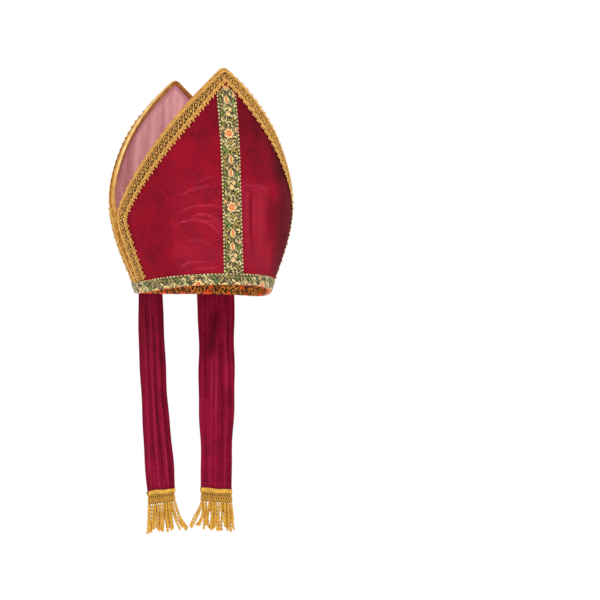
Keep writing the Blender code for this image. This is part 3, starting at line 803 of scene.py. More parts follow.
def lining_satin(name, light, deep):
    """Satin, woven with long floats on its face, so it is smooth: soft streaks of light along its folds
    are painted, and painted shade lies in the folds' valleys."""
    made, tree, place = new_cloth(name)
    streak = noise(tree, stretched(tree, place, 9.0, 1.6), 11.0, 3.0, 1.2)
    # The fold mark paints shade in the folds, and the stretched noise paints streaks of light and shade.
    tone = times(tree, streak, 0.55, marks_of(tree, "fold")["Red"])
    shade = blend(tree, ramp(tree, tone, (0.30, 0.0), (1.0, 1.0)), light, deep)
    # Floats 0.3 mm wide, drawn as 1 mm.
    floats = wave(tree, place, "X", 314.0, 3.0, 2.0)
    values = {"Roughness": 0.34, "Specular IOR Level": 0.6, "Sheen Weight": 0.15, "Sheen Tint": light}
    return finish_material(made, shade, values, floats, 0.06, 0.0004)


def metal_thread(name, bright, dull, metallic, roughness, turn_scale):
    """Gilt thread, a flat metal strip wound round a cotton core: painted glints lie on its turns one
    by one, and painted shade makes the hollows between them brown."""
    made, tree, place = new_cloth(name)
    turns = wave(tree, place, "DIAGONAL", turn_scale, 0.8, 1.0)
    tone = times(tree, turns, 0.45, noise(tree, place, 130.0, 3.0))
    shade = blend(tree, ramp(tree, tone, (0.45, 0.0), (0.85, 1.0)), dull, bright)
    values = {"Metallic": metallic, "Roughness": roughness}
    return finish_material(made, shade, values, turns, 0.6, 0.0003)


def dark_shade_net(name, dark, light):
    """A dark net laid under a lace or a fringe as painted shade: nearly dark, with a paler thread here
    and there, so the holes in what lies on it read as deep."""
    made, tree, place = new_cloth(name)
    mesh = add(tree, "TexVoronoi", {"Vector": place, "Scale": 700.0}, feature="DISTANCE_TO_EDGE")
    gap = mesh.outputs["Distance"]
    shade = blend(tree, ramp(tree, gap, (0.02, 1.0), (0.10, 0.0)), dark, light)
    return finish_material(made, shade, {"Roughness": 0.8}, gap, 0.5, 0.0003)


def gold_satin(name, bright, dull):
    """Gold satin tape, cut on the bias and folded: a painted highlight runs in a long line on the fold,
    and painted shade turns it brown where it faces down."""
    made, tree, place = new_cloth(name)
    fold = marks_of(tree, "fold")
    # The bias weave's ribs are 0.4 mm apart, drawn as 1.2 mm.
    ribs = wave(tree, place, "DIAGONAL", 523.0, 1.0, 1.0)
    tone = times(tree, ribs, 0.2, noise(tree, place, 70.0, 4.0))
    shade = blend(tree, ramp(tree, tone, (0.40, 0.0), (0.80, 1.0)), dull, bright)
    # Painted shade: the fold mark's red browns the tape's inner face.
    shade = blend(tree, fold["Red"], shade, linear("8a4a16"))
    # Painted highlight: the fold mark's green lays a pale line along the fold.
    shade = blend(tree, fold["Green"], shade, linear("f8dc94"))
    return finish_material(made, shade, {"Metallic": 0.45, "Roughness": 0.33}, ribs, 0.15, 0.0003)


def woven_brocade(name, colours):
    """Brocade ribbon, woven with extra wefts that float only where the pattern needs them: the
    pale and straw wefts shine on a matt dark ground, and on the wrong side they run free."""
    made, tree, place = new_cloth(name)
    face, under, turned = (marks_of(tree, mark) for mark in ("weave", "weave_under", "turned"))
    ground, straw, leaf, blossom, scroll, reverse = (
        tuple(getattr(colours, key)) for key in ("ground", "straw", "leaf", "blossom", "scroll", "reverse")
    )
    slub = noise(tree, place, 260.0, 3.0)
    lighter = (*(min(1.0, 2.3 * c + 0.01) for c in ground[:3]), 1.0)
    shade = blend(tree, ramp(tree, slub, (0.42, 0.0), (0.70, 0.8)), ground, lighter)
    # turned's green lays a painted grey sheen, 5a5036, over the pattern where the ribbon turns its face from
    # the light.
    for share, thread in (
        (under["Red"], straw), (face["Blue"], leaf), (turned["Green"], linear("5a5036")),
        (face["Green"], blossom), (face["Red"], scroll),
        (times(tree, under["Green"], 0.75), darker(ground, 0.35)),
    ):
        shade = blend(tree, share, shade, thread)
    shade = blend(tree, 1.0, shade, ramp(tree, slub, (0.30, 0.72), (0.60, 1.0)), "MULTIPLY")
    broad = ramp(tree, noise(tree, place, 22.0, 1.0), (0.40, 0.0), (0.62, 1.0))
    back = blend(tree, broad, reverse, linear("f0a83c"))
    back = blend(tree, under["Blue"], linear("2a180a"), back)
    back = blend(tree, face["Green"], back, linear("f4561c"))
    shade = blend(tree, turned["Red"], shade, back)
    # Wefts 0.35 mm apart, drawn as 1.1 mm.
    wefts = wave(tree, place, "X", 285.0, 2.2, 2.0)
    values = {"Roughness": 0.50, "Specular IOR Level": 0.25}
    return finish_material(made, shade, values, times(tree, wefts, 0.4, under["Blue"]), 0.4, 0.0004)


# Pieces


def settings():
    """The form that the sizes give, and the settings of the trims and the colours."""
    scene = bpy.context.scene
    return Form(scene.mitre_form), scene.mitre_trims, scene.mitre_colours


def material(name, maker, *values, **more):
    return bpy.data.materials.get(name) or maker(name, *values, **more)


def half_arc(form, height, inset=0.0):
    """Half the panel's width in the pattern at a height."""
    arc, level = form.edge(form.stations, inset)
    return np.interp(height, level, arc, right=0.0)


def panel_grid(form, inset, step, columns):
    """Arcs and heights of a panel's points, in rows that are closest in the rounded point."""
    _, level = form.edge(form.stations, inset)
    crest = level[3 * PART]
    point = form.edge(np.linspace(3.02, 3.999, 9), inset)[1]
    heights = np.concatenate([np.linspace(0, crest, int(crest / step)), point])[:, None]
    arc = half_arc(form, heights, inset) * np.linspace(-1, 1, columns)
    return arc, np.broadcast_to(heights, arc.shape)


def strip_area(width, along):
    """Area of a flat piece from its width at each place along it."""
    return float(abs(np.sum((width[1:] + width[:-1]) / 2 * np.diff(along))))


def open_share(form, arc, height, start=0.012, full=0.026):
    """1 on the open cloth of a panel, falling to 0 under its trims."""
    room = (half_arc(form, height) - np.abs(arc)) * 0.72
    return smoothstep(start, full, room) * smoothstep(0.013, 0.022, height)


class MitreOperator(bpy.types.Operator):
    bl_options = {"REGISTER", "UNDO"}


class MITRE_OT_panels(MitreOperator):
    """Make the velvet of the front and back panels"""

    bl_idname = "mitre.panels"
    bl_label = "Velvet panels"

    def execute(self, context):
        form, trims, colours = settings()
        velvet = material("cut_pile_velvet", pile_velvet, tuple(colours.velvet), tuple(colours.velvet_deep))
        for word, side in SIDES:
            arc, height = panel_grid(form, inset=0.0, step=0.0024, columns=131)
            stand, light, crushed = velvet_relief(side, arc, height)
            points = form.wrap(side, arc, height, stand * open_share(form, arc, height))
            # The pile mark carries painted light: painted highlight in red, painted shade in green, and the
            # crushed streaks' painted pale sheen in blue.
            pile = {"pile": stack(np.maximum(light, 0), np.maximum(-light, 0), crushed)}
            piece = grid_object(f"{word}_velvet", points, stack(arc, height), pile, flip=side == BACK)
            thicken(piece, trims.velvet_thickness)
            finish_piece(piece, velvet, "panel_velvet", f"{word}_panel")
        return {"FINISHED"}


def lining_folds(side, arc, height):
    """Depth of the lining's soft folds, 0 to 1: upright ones, and a few that curl over."""
    s, z = arc / MM, height / MM
    x = s + 4 * np.sin(z / 88.0 + side) + 2 * np.sin(z / 37.0 + s / 50.0)
    upright = 0.5 + 0.20 * np.sin(x / 4.1 + 1.4 * np.sin(x / 23.0)) + 0.17 * np.sin(x / 9.7 + z / 130.0)
    upright = upright + 0.13 * np.sin(x / 2.3 + 2.0 * np.sin(x / 31.0) + z / 90.0)
    around = np.hypot(s - 34 * side, (z - 215) * 0.55)
    curl = 0.5 + 0.35 * np.sin(around / 5.0 + 0.9 * np.sin(z / 17.0) + 0.7 * np.sin(s / 13.0))
    share = smoothstep(130, 240, z)
    folds = (1 - share) * upright + share * (0.55 * upright + 0.45 * curl)
    return 0.5 + (folds - 0.5) * (0.36 + 0.34 * np.sin(s / 31.0 + z / 60.0 + 0.8 * side) ** 2)


class MITRE_OT_linings(MitreOperator):
    """Make the satin linings inside both panels"""

    bl_idname = "mitre.linings"
    bl_label = "Satin linings"

    def execute(self, context):
        form, trims, colours = settings()
        satin = material("dusty_rose_satin", lining_satin, tuple(colours.satin), tuple(colours.satin_deep))
        for word, side in SIDES:
            arc, height = panel_grid(form, inset=0.0003, step=0.0030, columns=141)
            folds = lining_folds(side, arc, height)
            folds = folds * open_share(form, arc, height, start=0.006, full=0.014)
            points = form.wrap(side, arc, height, -trims.velvet_thickness - 0.0016 - 0.0019 * folds)
            # The fold mark is painted shade: deepest where the lining lies back in a fold's valley and under
            # the trims.
            fold = {"fold": stack(1 - folds, 0, 0)}
            piece = grid_object(f"{word}_satin", points, stack(arc, height), fold, flip=side == FRONT)
            thicken(piece, thickness=0.0008)
            finish_piece(piece, satin, "lining_satin", f"{word}_lining")
            level = height[:, 0]
            width = 2 * half_arc(form, level)
            strip_area(width, level)
        return {"FINISHED"}


def binding_section(inner):
    """Inset and lift in mm, round the tape's outside and back along its inside."""
    return np.array(
        [
            (3.0, 0.65), (2.95, 1.25), (2.2, 1.55), (1.0, 1.65), (0.0, 1.62), (-0.9, 1.25), (-1.45, 0.55),
            (-1.62, -0.5), (-1.62, -2.0), (-1.62, -3.4), (-1.45, -4.6), (-0.9, -5.4), (0.0, -5.8),
            (0.3 * inner, -5.85), (0.6 * inner, -5.8), (0.85 * inner, -5.75), (inner, -5.45),
            (inner, -4.95), (0.6 * inner, -4.9), (0.2, -4.85), (-0.6, -4.3), (-0.66, -2.0), (-0.62, 0.1),
            (0.2, 0.66), (1.8, 0.7),
        ]
    )


class MITRE_OT_bindings(MitreOperator):
    """Make the gold satin tape folded over each panel's edge"""

    bl_idname = "mitre.bindings"
    bl_label = "Bindings"

    def execute(self, context):
        form, trims, colours = settings()
        gold = tuple(colours.binding)
        satin = material("gold_satin_tape", gold_satin, gold, darker(gold, 0.55))
        section = binding_section(trims.binding_inner / MM)
        inset, lift = section[:, :1], section[:, 1:]
        around = distances(section)[:, None] * MM
        stations, run = form.edge_run(0.0, RIM_TOP + 0.0004)
        low = np.interp(0.0, run, stations)
        # Steps along the outline's four parts, from the rim band's top to the tip.
        turns = np.concatenate([part + np.linspace(0, 1, count)[: count - (part < 3)]
                                for part, count in enumerate((26, 19, 76, 15))])
        half = low + (TIP - low) * turns / TIP
        whole = np.concatenate([-half, half[-2::-1]])
        along = np.interp(np.abs(whole), stations, run)
        along = np.where(whole < 0, along, 2 * along.max() - along)
        inside = smoothstep(-5.2, -5.7, lift)
        ripple = 0.22 * np.sin(along / 0.0037 + 0.9 * np.sin(along / 0.019)) * inside
        # Painted shade on the tape's inner face, uneven along it.
        painted_shading = inside * (0.75 + 0.25 * np.sin(along / 0.0023) * np.sin(along / 0.0071))
        # A painted highlight along the outer fold, broken into beads.
        painted_fold_highlight = bell(lift + 3.4, 1.6) * smoothstep(-1.2, -1.5, inset)
        painted_fold_highlight = painted_fold_highlight * (0.75 + 0.25 * np.sin(along / 0.0033 + np.sin(along / 0.013)))
        arc, height = form.edge(whole, inset * MM)
        for word, side in SIDES:
            shine = painted_fold_highlight
            if side == BACK:  # the painted highlight fades out low on the back panel, which lies in shade there
                shine = painted_fold_highlight * (0.15 + 0.85 * smoothstep(0.13, 0.20, height))
            points = form.wrap(side, arc, height, (lift + ripple) * MM)
            fold = {"fold": stack(np.clip(painted_shading, 0, 1), shine, 0)}
            uv = stack(along, around)
            piece = grid_object(f"{word}_tape", points, uv, fold, flip=side == FRONT, close_rows=True)
            finish_piece(piece, satin, "binding_satin", f"{word}_binding")
        return {"FINISHED"}


# How far inside the panel's edge the lace begins, and how wide the dark net of painted shade under it is.
LACE_START, LACE_SHADE_NET = 0.0022, 0.0132
# Threads that run along the lace: across, swing, turns in a pitch, phase, height above the
# cloth in thicknesses, and thickness as a share of the thread's.
LACE_LINES = (
    # mm, mm
    (0.5, 0.15, 4, 0.0, 0.75, 1.5), (2.4, 0.30, 5, 3.1, 0.70, 0.8), (13.4, 0.35, 3, 1.0, 0.70, 1.3),
)
# Loops of each pitch: where the root lies along and across, the direction in degrees from
# straight inwards, the length and the breadth, and how high the loop stands. First come the six
# spokes of a wheel, its rim and its raised knot, then the fan of loops that forms the lace's inner
# points, and last the outer loops, which reach back towards the binding.
LACE_LOOPS = tuple(
    # mm, mm, degrees, mm, mm, thicknesses
    (5.65, 7.9, way, 4.6, 0.0, 0.75) for way in range(30, 390, 60)
) + (
    (5.65, 3.2, 0, 9.5, 9.7, 0.95), (5.65, 6.7, 0, 2.4, 2.4, 2.0),
    (4.4, 13.2, -34, 4.2, 1.7, 0.6), (5.4, 13.2, -8, 7.6, 2.2, 0.9), (6.4, 13.2, 20, 5.0, 1.7, 0.7),
    (10.4, 13.4, -6, 5.6, 1.9, 0.6), (11.6, 13.4, 24, 2.8, 1.5, 0.5),
    (4.8, 0.6, 216, 4.0, 1.6, 0.5), (5.7, 0.6, 182, 6.0, 1.9, 0.9), (6.7, 0.6, 150, 4.0, 1.6, 0.5),
    (0.2, 0.3, 180, 3.0, 1.6, 0.5),
)


class Lace:
    """The line of a lace, from the wearer's right up to the tip and down on the left."""

    def __init__(self, form, side, trims):
        self.form, self.side, self.thread = form, side, trims.lace_thread
        self.stations, self.run = form.edge_run(LACE_START + 0.4 * trims.lace_width, RIM_TOP + 0.0006)
        self.total = self.run[-1]
        self.count = round(self.total / trims.lace_pitch)
        self.pitch = self.total / self.count

    def reach(self, from_tip):
        """1 where the lace was sewn further out, past the binding: on the wearer's left in front,
        and low on the wearer's right behind."""
        start, full = (0.0, -0.030) if self.side == FRONT else (0.050, 0.085)
        return smoothstep(start, full, from_tip)

    def place(self, along, across, above):
        """Points at distances along the lace, across it and above what it lies on."""
        from_tip = self.total - along
        station = np.interp(self.total - np.abs(from_tip), self.run, self.stations)
        narrow = 1 - 0.24 * bell(from_tip, 0.045)
        inset = LACE_START + 0.0005 - 0.0009 * self.reach(from_tip) + across * narrow
        arc, height = self.form.edge(np.copysign(station, -from_tip), inset)
        lift = above * self.thread + 0.0004 + 0.0013 * smoothstep(0.0040, 0.0026, inset)
        lift = lift - 0.0007 * smoothstep(-0.0004, -0.0024, inset)
        lift = lift + 0.0012 * bell(from_tip, 0.012) * (0.5 + 0.5 * np.sin(from_tip / 0.0016 + across * 500))
        return with_normals(lambda level: self.form.wrap(self.side, arc, height, level), lift)

    def threads(self):
        """Runs of the lace's threads, and their radii."""
        runs, radii = [], []
        steps = np.arange(0, 2 * self.count * 9 + 1) / 9
        for across, swing, turns, phase, above, weight in LACE_LINES:
            turn = steps * turns * 2 * math.pi + phase
            over = (across + swing * np.sin(turn)) * MM
            runs.append(self.place(steps * self.pitch, over, above + 0.25 * np.cos(turn)))
            radii.append(self.thread / 2 * weight)
        for k in range(2 * self.count):
            for along, across, way, size, breadth, above in LACE_LOOPS:
                turn = np.linspace(0, 2 * math.pi, 8 if breadth < 1 else 20 if breadth > 5 else 11)
                if way > 150:  # shorter where the lace lies further in, clear of the binding
                    size = size * (0.65 + 0.35 * self.reach((self.count - k - 0.5) * self.pitch))
                a = math.radians(way + 3 * math.sin(3.7 * k + way))
                out = size * (1 - np.cos(turn)) / 2
                wide = breadth / 2 * np.sin(turn)
                x = k * self.pitch + (along + out * math.sin(a) + wide * math.cos(a)) * MM
                y = (across + out * math.cos(a) - wide * math.sin(a)) * MM
                runs.append(self.place(x, y, above + 0.35 * np.sin(turn / 2) + 0.1 * np.sin(turn)))
                radii.append(self.thread / 2 * (0.9 if breadth else 0.7))
        return runs, radii


class MITRE_OT_laces(MitreOperator):
    """Make the gold lace that lies beside each binding"""

    bl_idname = "mitre.laces"
    bl_label = "Gold laces"

    def execute(self, context):
        form, trims, colours = settings()
        gold = material("gilt_thread_lace", metal_thread, tuple(colours.gold), tuple(colours.gold_deep),
                        metallic=0.45, roughness=0.30, turn_scale=420.0)
        net = material("brown_lace_net", dark_shade_net, linear("241206"), linear("6a4214"))
        for word, side in SIDES:
            lace = Lace(form, side, trims)
            piece = tubes(f"{word}_gilt_lace", *lace.threads(), sides=5)
            finish_piece(piece, gold, "metal_lace", f"{word}_lace")
            # A dark net under the lace stands in for the shade in its holes.
            along = np.linspace(0.0005, 2 * lace.total - 0.0005, 420)[None]
            uv = stack(along, np.linspace(0.0002, LACE_SHADE_NET, 6)[:, None])
            points, _ = lace.place(*uv.reshape(-1, 2).T, 0.0)
            under = grid_object(f"{word}_lace_net", points.reshape(*uv.shape[:2], 3), uv, flip=side == BACK)
            finish_piece(under, net, "metal_lace")
        return {"FINISHED"}


def brocade_grid(name, points, along, across, woven, turned=0.0, painted_sheen=0.0, flip=False):
    """A ribbon as a fine grid, with what is woven at each point as attributes. turned is 1 where
    its wrong side shows, and painted_sheen is how far a painted grey sheen covers its colours."""
    face, under, _ = woven
    marks = {"weave": face, "weave_under": under, "turned": stack(turned, painted_sheen, 0 * along)}
    return grid_object(name, points, stack(along, across), marks, flip=flip)


def ribbon_columns(width, step):
    """Places across a ribbon, with a close pair at each edge for its turned-down border."""
    inner = np.linspace(-width / 2, width / 2, int(width / step))
    return np.concatenate([[-width / 2 - 0.0001], inner, [width / 2 + 0.0001]])[None]


class MITRE_OT_rim_band(MitreOperator):
    """Make the brocade ribbon folded over the rim"""

    bl_idname = "mitre.rim_band"
    bl_label = "Rim band"

    def execute(self, context):
        form, trims, colours = settings()
        cloth = material("floral_brocade_weave", woven_brocade, colours)
        top = RIM_TOP / MM
        # Height and lift in mm, down the outside, under the rim and up the inside.
        path = np.array(
            [
                (top - 0.1, 0.45), (top, 0.9), (top - 0.3, 1.3), (top - 4, 1.38), (3, 1.4), (0.6, 1.35),
                (-0.6, 0.9), (-1.1, -0.2), (-1.15, -2.0), (-1.1, -4.0), (-0.6, -5.1), (0.6, -5.6),
                (4, -5.65), (top - 4, -5.65), (top - 0.3, -5.6), (top, -5.3), (top - 0.1, -4.9),
            ]
        )
        run = distances(path)
        places = np.linspace(0, run[-1], 64)[:, None]
        height = np.interp(places, run, path[:, 0]) * MM
        lift = np.interp(places, run, path[:, 1]) * MM
        turn = np.linspace(0, 4, 901)
        front = turn <= 2
        arc = np.where(front, turn - 1, 3 - turn) * form.quarter(np.maximum(height, 0))
        repeats = round(4 * float(form.quarter(0.0)) / trims.ribbon_repeat)
        along = turn / 4 * repeats * trims.ribbon_repeat
        across = places / run[-1] * trims.ribbon_width
        height, lift, along, across = together(height, lift, along, across)
        woven = brocade(along, across, trims)
        inside = 1 - smoothstep(-1.5, 0.5, lift / MM)
        way = np.where(lift > -0.003, 1, -1)
        sag = 0.00018 * np.sin(along / 0.0091 + np.sin(along / 0.033))
        grown = lift + way * (0.00010 * woven[2] + sag)
        points = np.where(
            front[:, None], form.wrap(FRONT, arc, height, grown), form.wrap(BACK, arc, height, grown)
        )
        # A painted grey sheen over the band, strongest on the wearer's right of the front.
        painted_sheen_share = 0.45 - 0.30 * smoothstep(0.9, 1.3, turn)
        piece = brocade_grid("rim_ribbon", points, along, across, woven, inside, painted_sheen_share, flip=True)
        finish_piece(piece, cloth, "brocade_ribbon", "rim_band")
        return {"FINISHED"}


# How far the orphrey's top stays inside the panel's edge, and where its pattern starts.
ORPHREY_INSET, ORPHREY_START = 0.0190, 0.215


class MITRE_OT_orphrey(MitreOperator):
    """Make the upright brocade ribbon of the front panel"""

    bl_idname = "mitre.orphrey"
    bl_label = "Orphrey"

    def execute(self, context):
        form, trims, colours = settings()
        cloth = material("floral_brocade_weave", woven_brocade, colours)
        edge = trims.ribbon_width / 2
        arc = ribbon_columns(trims.ribbon_width, step=0.00062)
        foot = RIM_TOP + 0.0003
        edge_arc, edge_height = form.edge(np.linspace(2, TIP, 400), ORPHREY_INSET)
        top = np.interp(np.abs(arc), edge_arc[::-1], edge_height[::-1])
        height = foot + (top - foot) * np.linspace(0, 1, 440)[:, None]
        arc = np.broadcast_to(arc, height.shape)
        along, across = ORPHREY_START - height, arc + edge
        woven = brocade(along, across, trims)
        stand = velvet_relief(FRONT, arc, height)[0] * open_share(form, arc, height)
        lift = stand + np.where(np.abs(arc) > edge, 0.0001, 0.00115 + 0.00012 * woven[2])
        lift = lift + 0.00015 * np.sin(height / 0.013) * (np.abs(arc) > edge - MM)
        points = form.wrap(FRONT, arc, height, lift)
        piece = brocade_grid("front_orphrey", points, along, across, woven)
        finish_piece(piece, cloth, "brocade_ribbon", "orphrey")
        return {"FINISHED"}


# Where the two lappets hang: the wearer's left one is at +X. Arc at the rim and drift in mm,
# where the ribbon's pattern starts in mm, which way the ribbon was sewn on, and how far its
# pattern lies off its middle in mm, because each ribbon was cut from a wider web.
LAPPETS = (
    # word, arc, drift, pattern start, turned end for end, aside
    ("left", 62.5, -5.0, -89.0, -1, 8.5),
    ("right", -42.5, 12.0, -16.0, 1, 2.5),
)
# Creases down the lappets, in mm: which one, place across at the top and bottom, from and to
# which depth below the rim, width, how far it stands back, and its painted light: a painted
# highlight where positive and painted shade where negative.
LAPPET_CREASES = (
    ("right", 12, 11, 10, 275, 2.6, 0.7, 0.35), ("right", 6, 4, 30, 270, 1.8, -0.7, -0.7),
    ("right", -3, -2, 60, 282, 1.6, 0.5, 0.55), ("right", -8, -7, 5, 250, 2.2, -0.6, -0.6),
    ("right", -15, -13, 30, 282, 3.4, 0.5, 0.2), ("right", 18, 16, 60, 282, 2.0, -0.5, -0.45),
    ("right", 1, 3, 5, 120, 1.4, 0.4, 0.4),
    ("left", 14, 13, 20, 150, 3.0, 0.7, 0.5), ("left", 8, 6, 70, 282, 1.8, -0.6, -0.5),
    ("left", -2, -1, 90, 180, 1.8, 0.6, 0.5), ("left", -9, -8, 95, 150, 1.8, 0.6, 0.7),
    ("left", -13, -12, 150, 282, 1.6, 0.5, 0.4), ("left", -16, -14, 60, 282, 1.6, -0.5, -0.5),
    ("left", 2, -10, 20, 95, 6.0, -0.9, -0.6), ("left", 20, 18, 120, 282, 2.2, -0.4, -0.4),
    ("left", 17, 16, 0, 90, 2.4, -0.5, -0.6),
)
# A lappet's width at the rim and at its end, and how far its underside and its pile lie outside
# the form.
LAPPET_WIDTH, LAPPET_END = 0.0540, 0.0455
LAPPET_LIFT, VELVET_LIFT = 0.0020, 0.0042


class Lappet:
    """The path on which a lappet hangs: seated on the rim band, then flattening as it falls."""

    def __init__(self, form, word, arc, drift):
        self.form, self.word = form, word
        self.arc, self.drift = arc * MM, drift * MM
        self.middle = form.wrap(BACK, self.arc, 0.0, 0.0)
        out = form.wrap(BACK, self.arc, 0.0, MM) - self.middle
        self.facing = math.atan2(out[0], out[1])

    def width(self, height):
        return LAPPET_WIDTH + (LAPPET_END - LAPPET_WIDTH) * smoothstep(0, 1, height / LAPPET_FOOT)

    def place(self, across, height, lift):
        """Points at distances across the lappet, heights, and lifts from its underside."""
        across, height, lift = together(across, height, lift)
        seated = self.form.wrap(BACK, self.arc + across, height, lift)
        share = np.clip(height / LAPPET_FOOT, 0, 1)
        facing = self.facing * (1 - 0.70 * smoothstep(0, 1, share))
        radius = 0.150
        turn = facing + across / radius
        x = self.drift * share**1.5 + radius * (np.sin(turn) - np.sin(facing)) + lift * np.sin(turn)
        y = radius * (np.cos(turn) - np.cos(facing)) + lift * np.cos(turn)
        slope = 0.09 * np.sign(self.arc) * across * smoothstep(0.55, 1.0, share)
        hanging = stack(self.middle[0] + x, self.middle[1] + y, height - slope)
        settle = smoothstep(0, -0.070, height)[..., None]
        return seated * (1 - settle) + hanging * settle

    def creases(self, across, height):
        """How far the lappet's creases stand out, and their painted light and shade on the pile, -1 to 1."""
        s, depth = across / MM, -height / MM
        stand, light = np.zeros(s.shape), np.zeros(s.shape)
        for word, top, bottom, start, end, width, rise, tone in LAPPET_CREASES:
            if word == self.word:
                t = np.clip((depth - start) / (end - start), 0, 1)
                line = top + (bottom - top) * t + 0.9 * np.sin(depth / 31.0 + top)
                fade = smoothstep(start - 12, start + 18, depth) * (1 - smoothstep(end - 24, end + 6, depth))
                stand += rise * bell(s - line, width) * fade
                light += tone * bell(s - line, width * 0.8) * fade
        ribs_and_painted_shade = 0.16 * np.sin(s * 2.1 + 0.8 * np.sin(depth / 37.0) + self.arc * 900)
        ribs_and_painted_shade = ribs_and_painted_shade * (0.5 + 0.5 * np.sin(depth / 43.0 + s / 5.0)) + 0.10 * np.sin(s * 0.9 + depth / 90.0)
        # The right lappet is made darker towards its edges.
        ribs_and_painted_shade = ribs_and_painted_shade - 0.22 * smoothstep(14, 24, np.abs(s + 3)) * (self.word == "right")
        foot = -LAPPET_FOOT / MM
        # Painted shade on the last few mm above the fringe's heading.
        ribs_and_painted_shade = ribs_and_painted_shade - 0.5 * smoothstep(foot - 5, foot, depth)
        sway = 0.9 * np.sin(depth / 55.0 + s / 21.0 + self.arc * 40) * smoothstep(20, 90, depth)
        return (stand + sway) * MM, np.clip(np.where(light > 0, 0.5, 0.9) * light + ribs_and_painted_shade, -1, 1)


def lappet_strip(lappet, velvet):
    height = np.linspace(RIM_TOP, LAPPET_FOOT, 150)[:, None]
    share = np.linspace(-0.5, 0.5, 45)[None]
    across = lappet.width(height) * share
    height = np.broadcast_to(height, across.shape)
    stand, light = lappet.creases(across, height)
    stand = stand * (1 - smoothstep(0.40, 0.5, np.abs(share)) ** 2)
    roll = 0.0005 * smoothstep(0.44, 0.5, np.abs(share))
    edge = np.sin(height / 0.027 + lappet.arc * 90 + 3 * share) + 0.5 * np.sin(height / 0.0113 - 4 * share)
    across = across + 0.0008 * edge * np.abs(2 * share)
    points = lappet.place(across, height, VELVET_LIFT + stand - roll)
    # The pile mark carries painted light: painted highlight in red and painted shade in green.
    pile = {"pile": stack(np.maximum(light, 0), np.maximum(-light, 0), 0)}
    strip = grid_object(f"{lappet.word}_lappet_velvet", points, stack(across, height), pile)
    thicken(strip, thickness=0.0021)
    finish_piece(strip, velvet, "lappet_velvet", f"{lappet.word}_lappet")
    return strip


def lappet_ribbon(lappet, trims, cloth, phase, way, aside):
    edge = trims.ribbon_width / 2
    height = np.linspace(RIM_TOP, LAPPET_FOOT, 470)[:, None]
    across, height = together(ribbon_columns(trims.ribbon_width, step=0.00064), height)
    along, over = phase * MM - height, edge + way * across
    woven = brocade(along, over, trims, aside, plain=1.0)
    lift = np.where(np.abs(across) > edge, 0.0001, 0.0008 + 0.00012 * woven[2])
    points = lappet.place(across, height, VELVET_LIFT + lappet.creases(across, height)[0] + lift)
    # A painted grey sheen over the upper part of the lappet's ribbon, near the rim.
    painted_sheen_share = 0.80 * (1 - smoothstep(0.060, 0.115, -height))
    ribbon = brocade_grid(f"{lappet.word}_lappet_brocade", points, along, over, woven, 0.0, painted_sheen_share)
    finish_piece(ribbon, cloth, "brocade_ribbon", f"{lappet.word}_lappet_ribbon")
    return ribbon


# The fringe hangs from the lappet's end: a woven heading, a knotted net of thin cords over a dark
# sheet of painted shade, and two rows of free cords. Heights of the heading and the net, and the
# lift of the middle.
HEADING, NET, FRINGE_LIFT = 0.0062, 0.0125, LAPPET_LIFT + 0.0011
HEADING_FOOT = LAPPET_FOOT - HEADING


def fringe_heading(lappet, bullion):
    around = np.linspace(0, 2 * math.pi, 25)[:-1, None]
    z = 0.5 * HEADING * np.sign(np.cos(around)) * np.abs(np.cos(around)) ** 0.45
    out = 0.0017 * np.sign(np.sin(around)) * np.abs(np.sin(around)) ** 0.6
    out = out * (1 + 0.12 * np.cos(z / HEADING * 2 * math.pi * 3))
    across = np.linspace(-LAPPET_END / 2 - 0.0002, LAPPET_END / 2 + 0.0002, 70)[None]
    limp = 0.0004 * np.sin(across / 0.0047 + lappet.arc * 70)
    height = LAPPET_FOOT + 0.0007 - HEADING / 2 + z + limp
    points = lappet.place(across, height, FRINGE_LIFT + out * (1 + 0.10 * np.sin(across / 0.0011)))
    name = f"{lappet.word}_heading"
    heading = grid_object(name, points, stack(across, z + out), close_rows=True, flip=True)
    place_piece(heading, bullion)


def fringe_shade_net(lappet, net):
    across = np.linspace(-LAPPET_END / 2 + 0.001, LAPPET_END / 2 - 0.001, 24)[None]
    height = np.linspace(HEADING_FOOT + 0.0022, HEADING_FOOT - NET, 6)[:, None]
    points = lappet.place(across, height, FRINGE_LIFT)
    # A dark sheet behind the plies, as painted shade between them.
    shade_sheet = grid_object(f"{lappet.word}_fringe_net", points, stack(across, height))
    place_piece(shade_sheet, net)


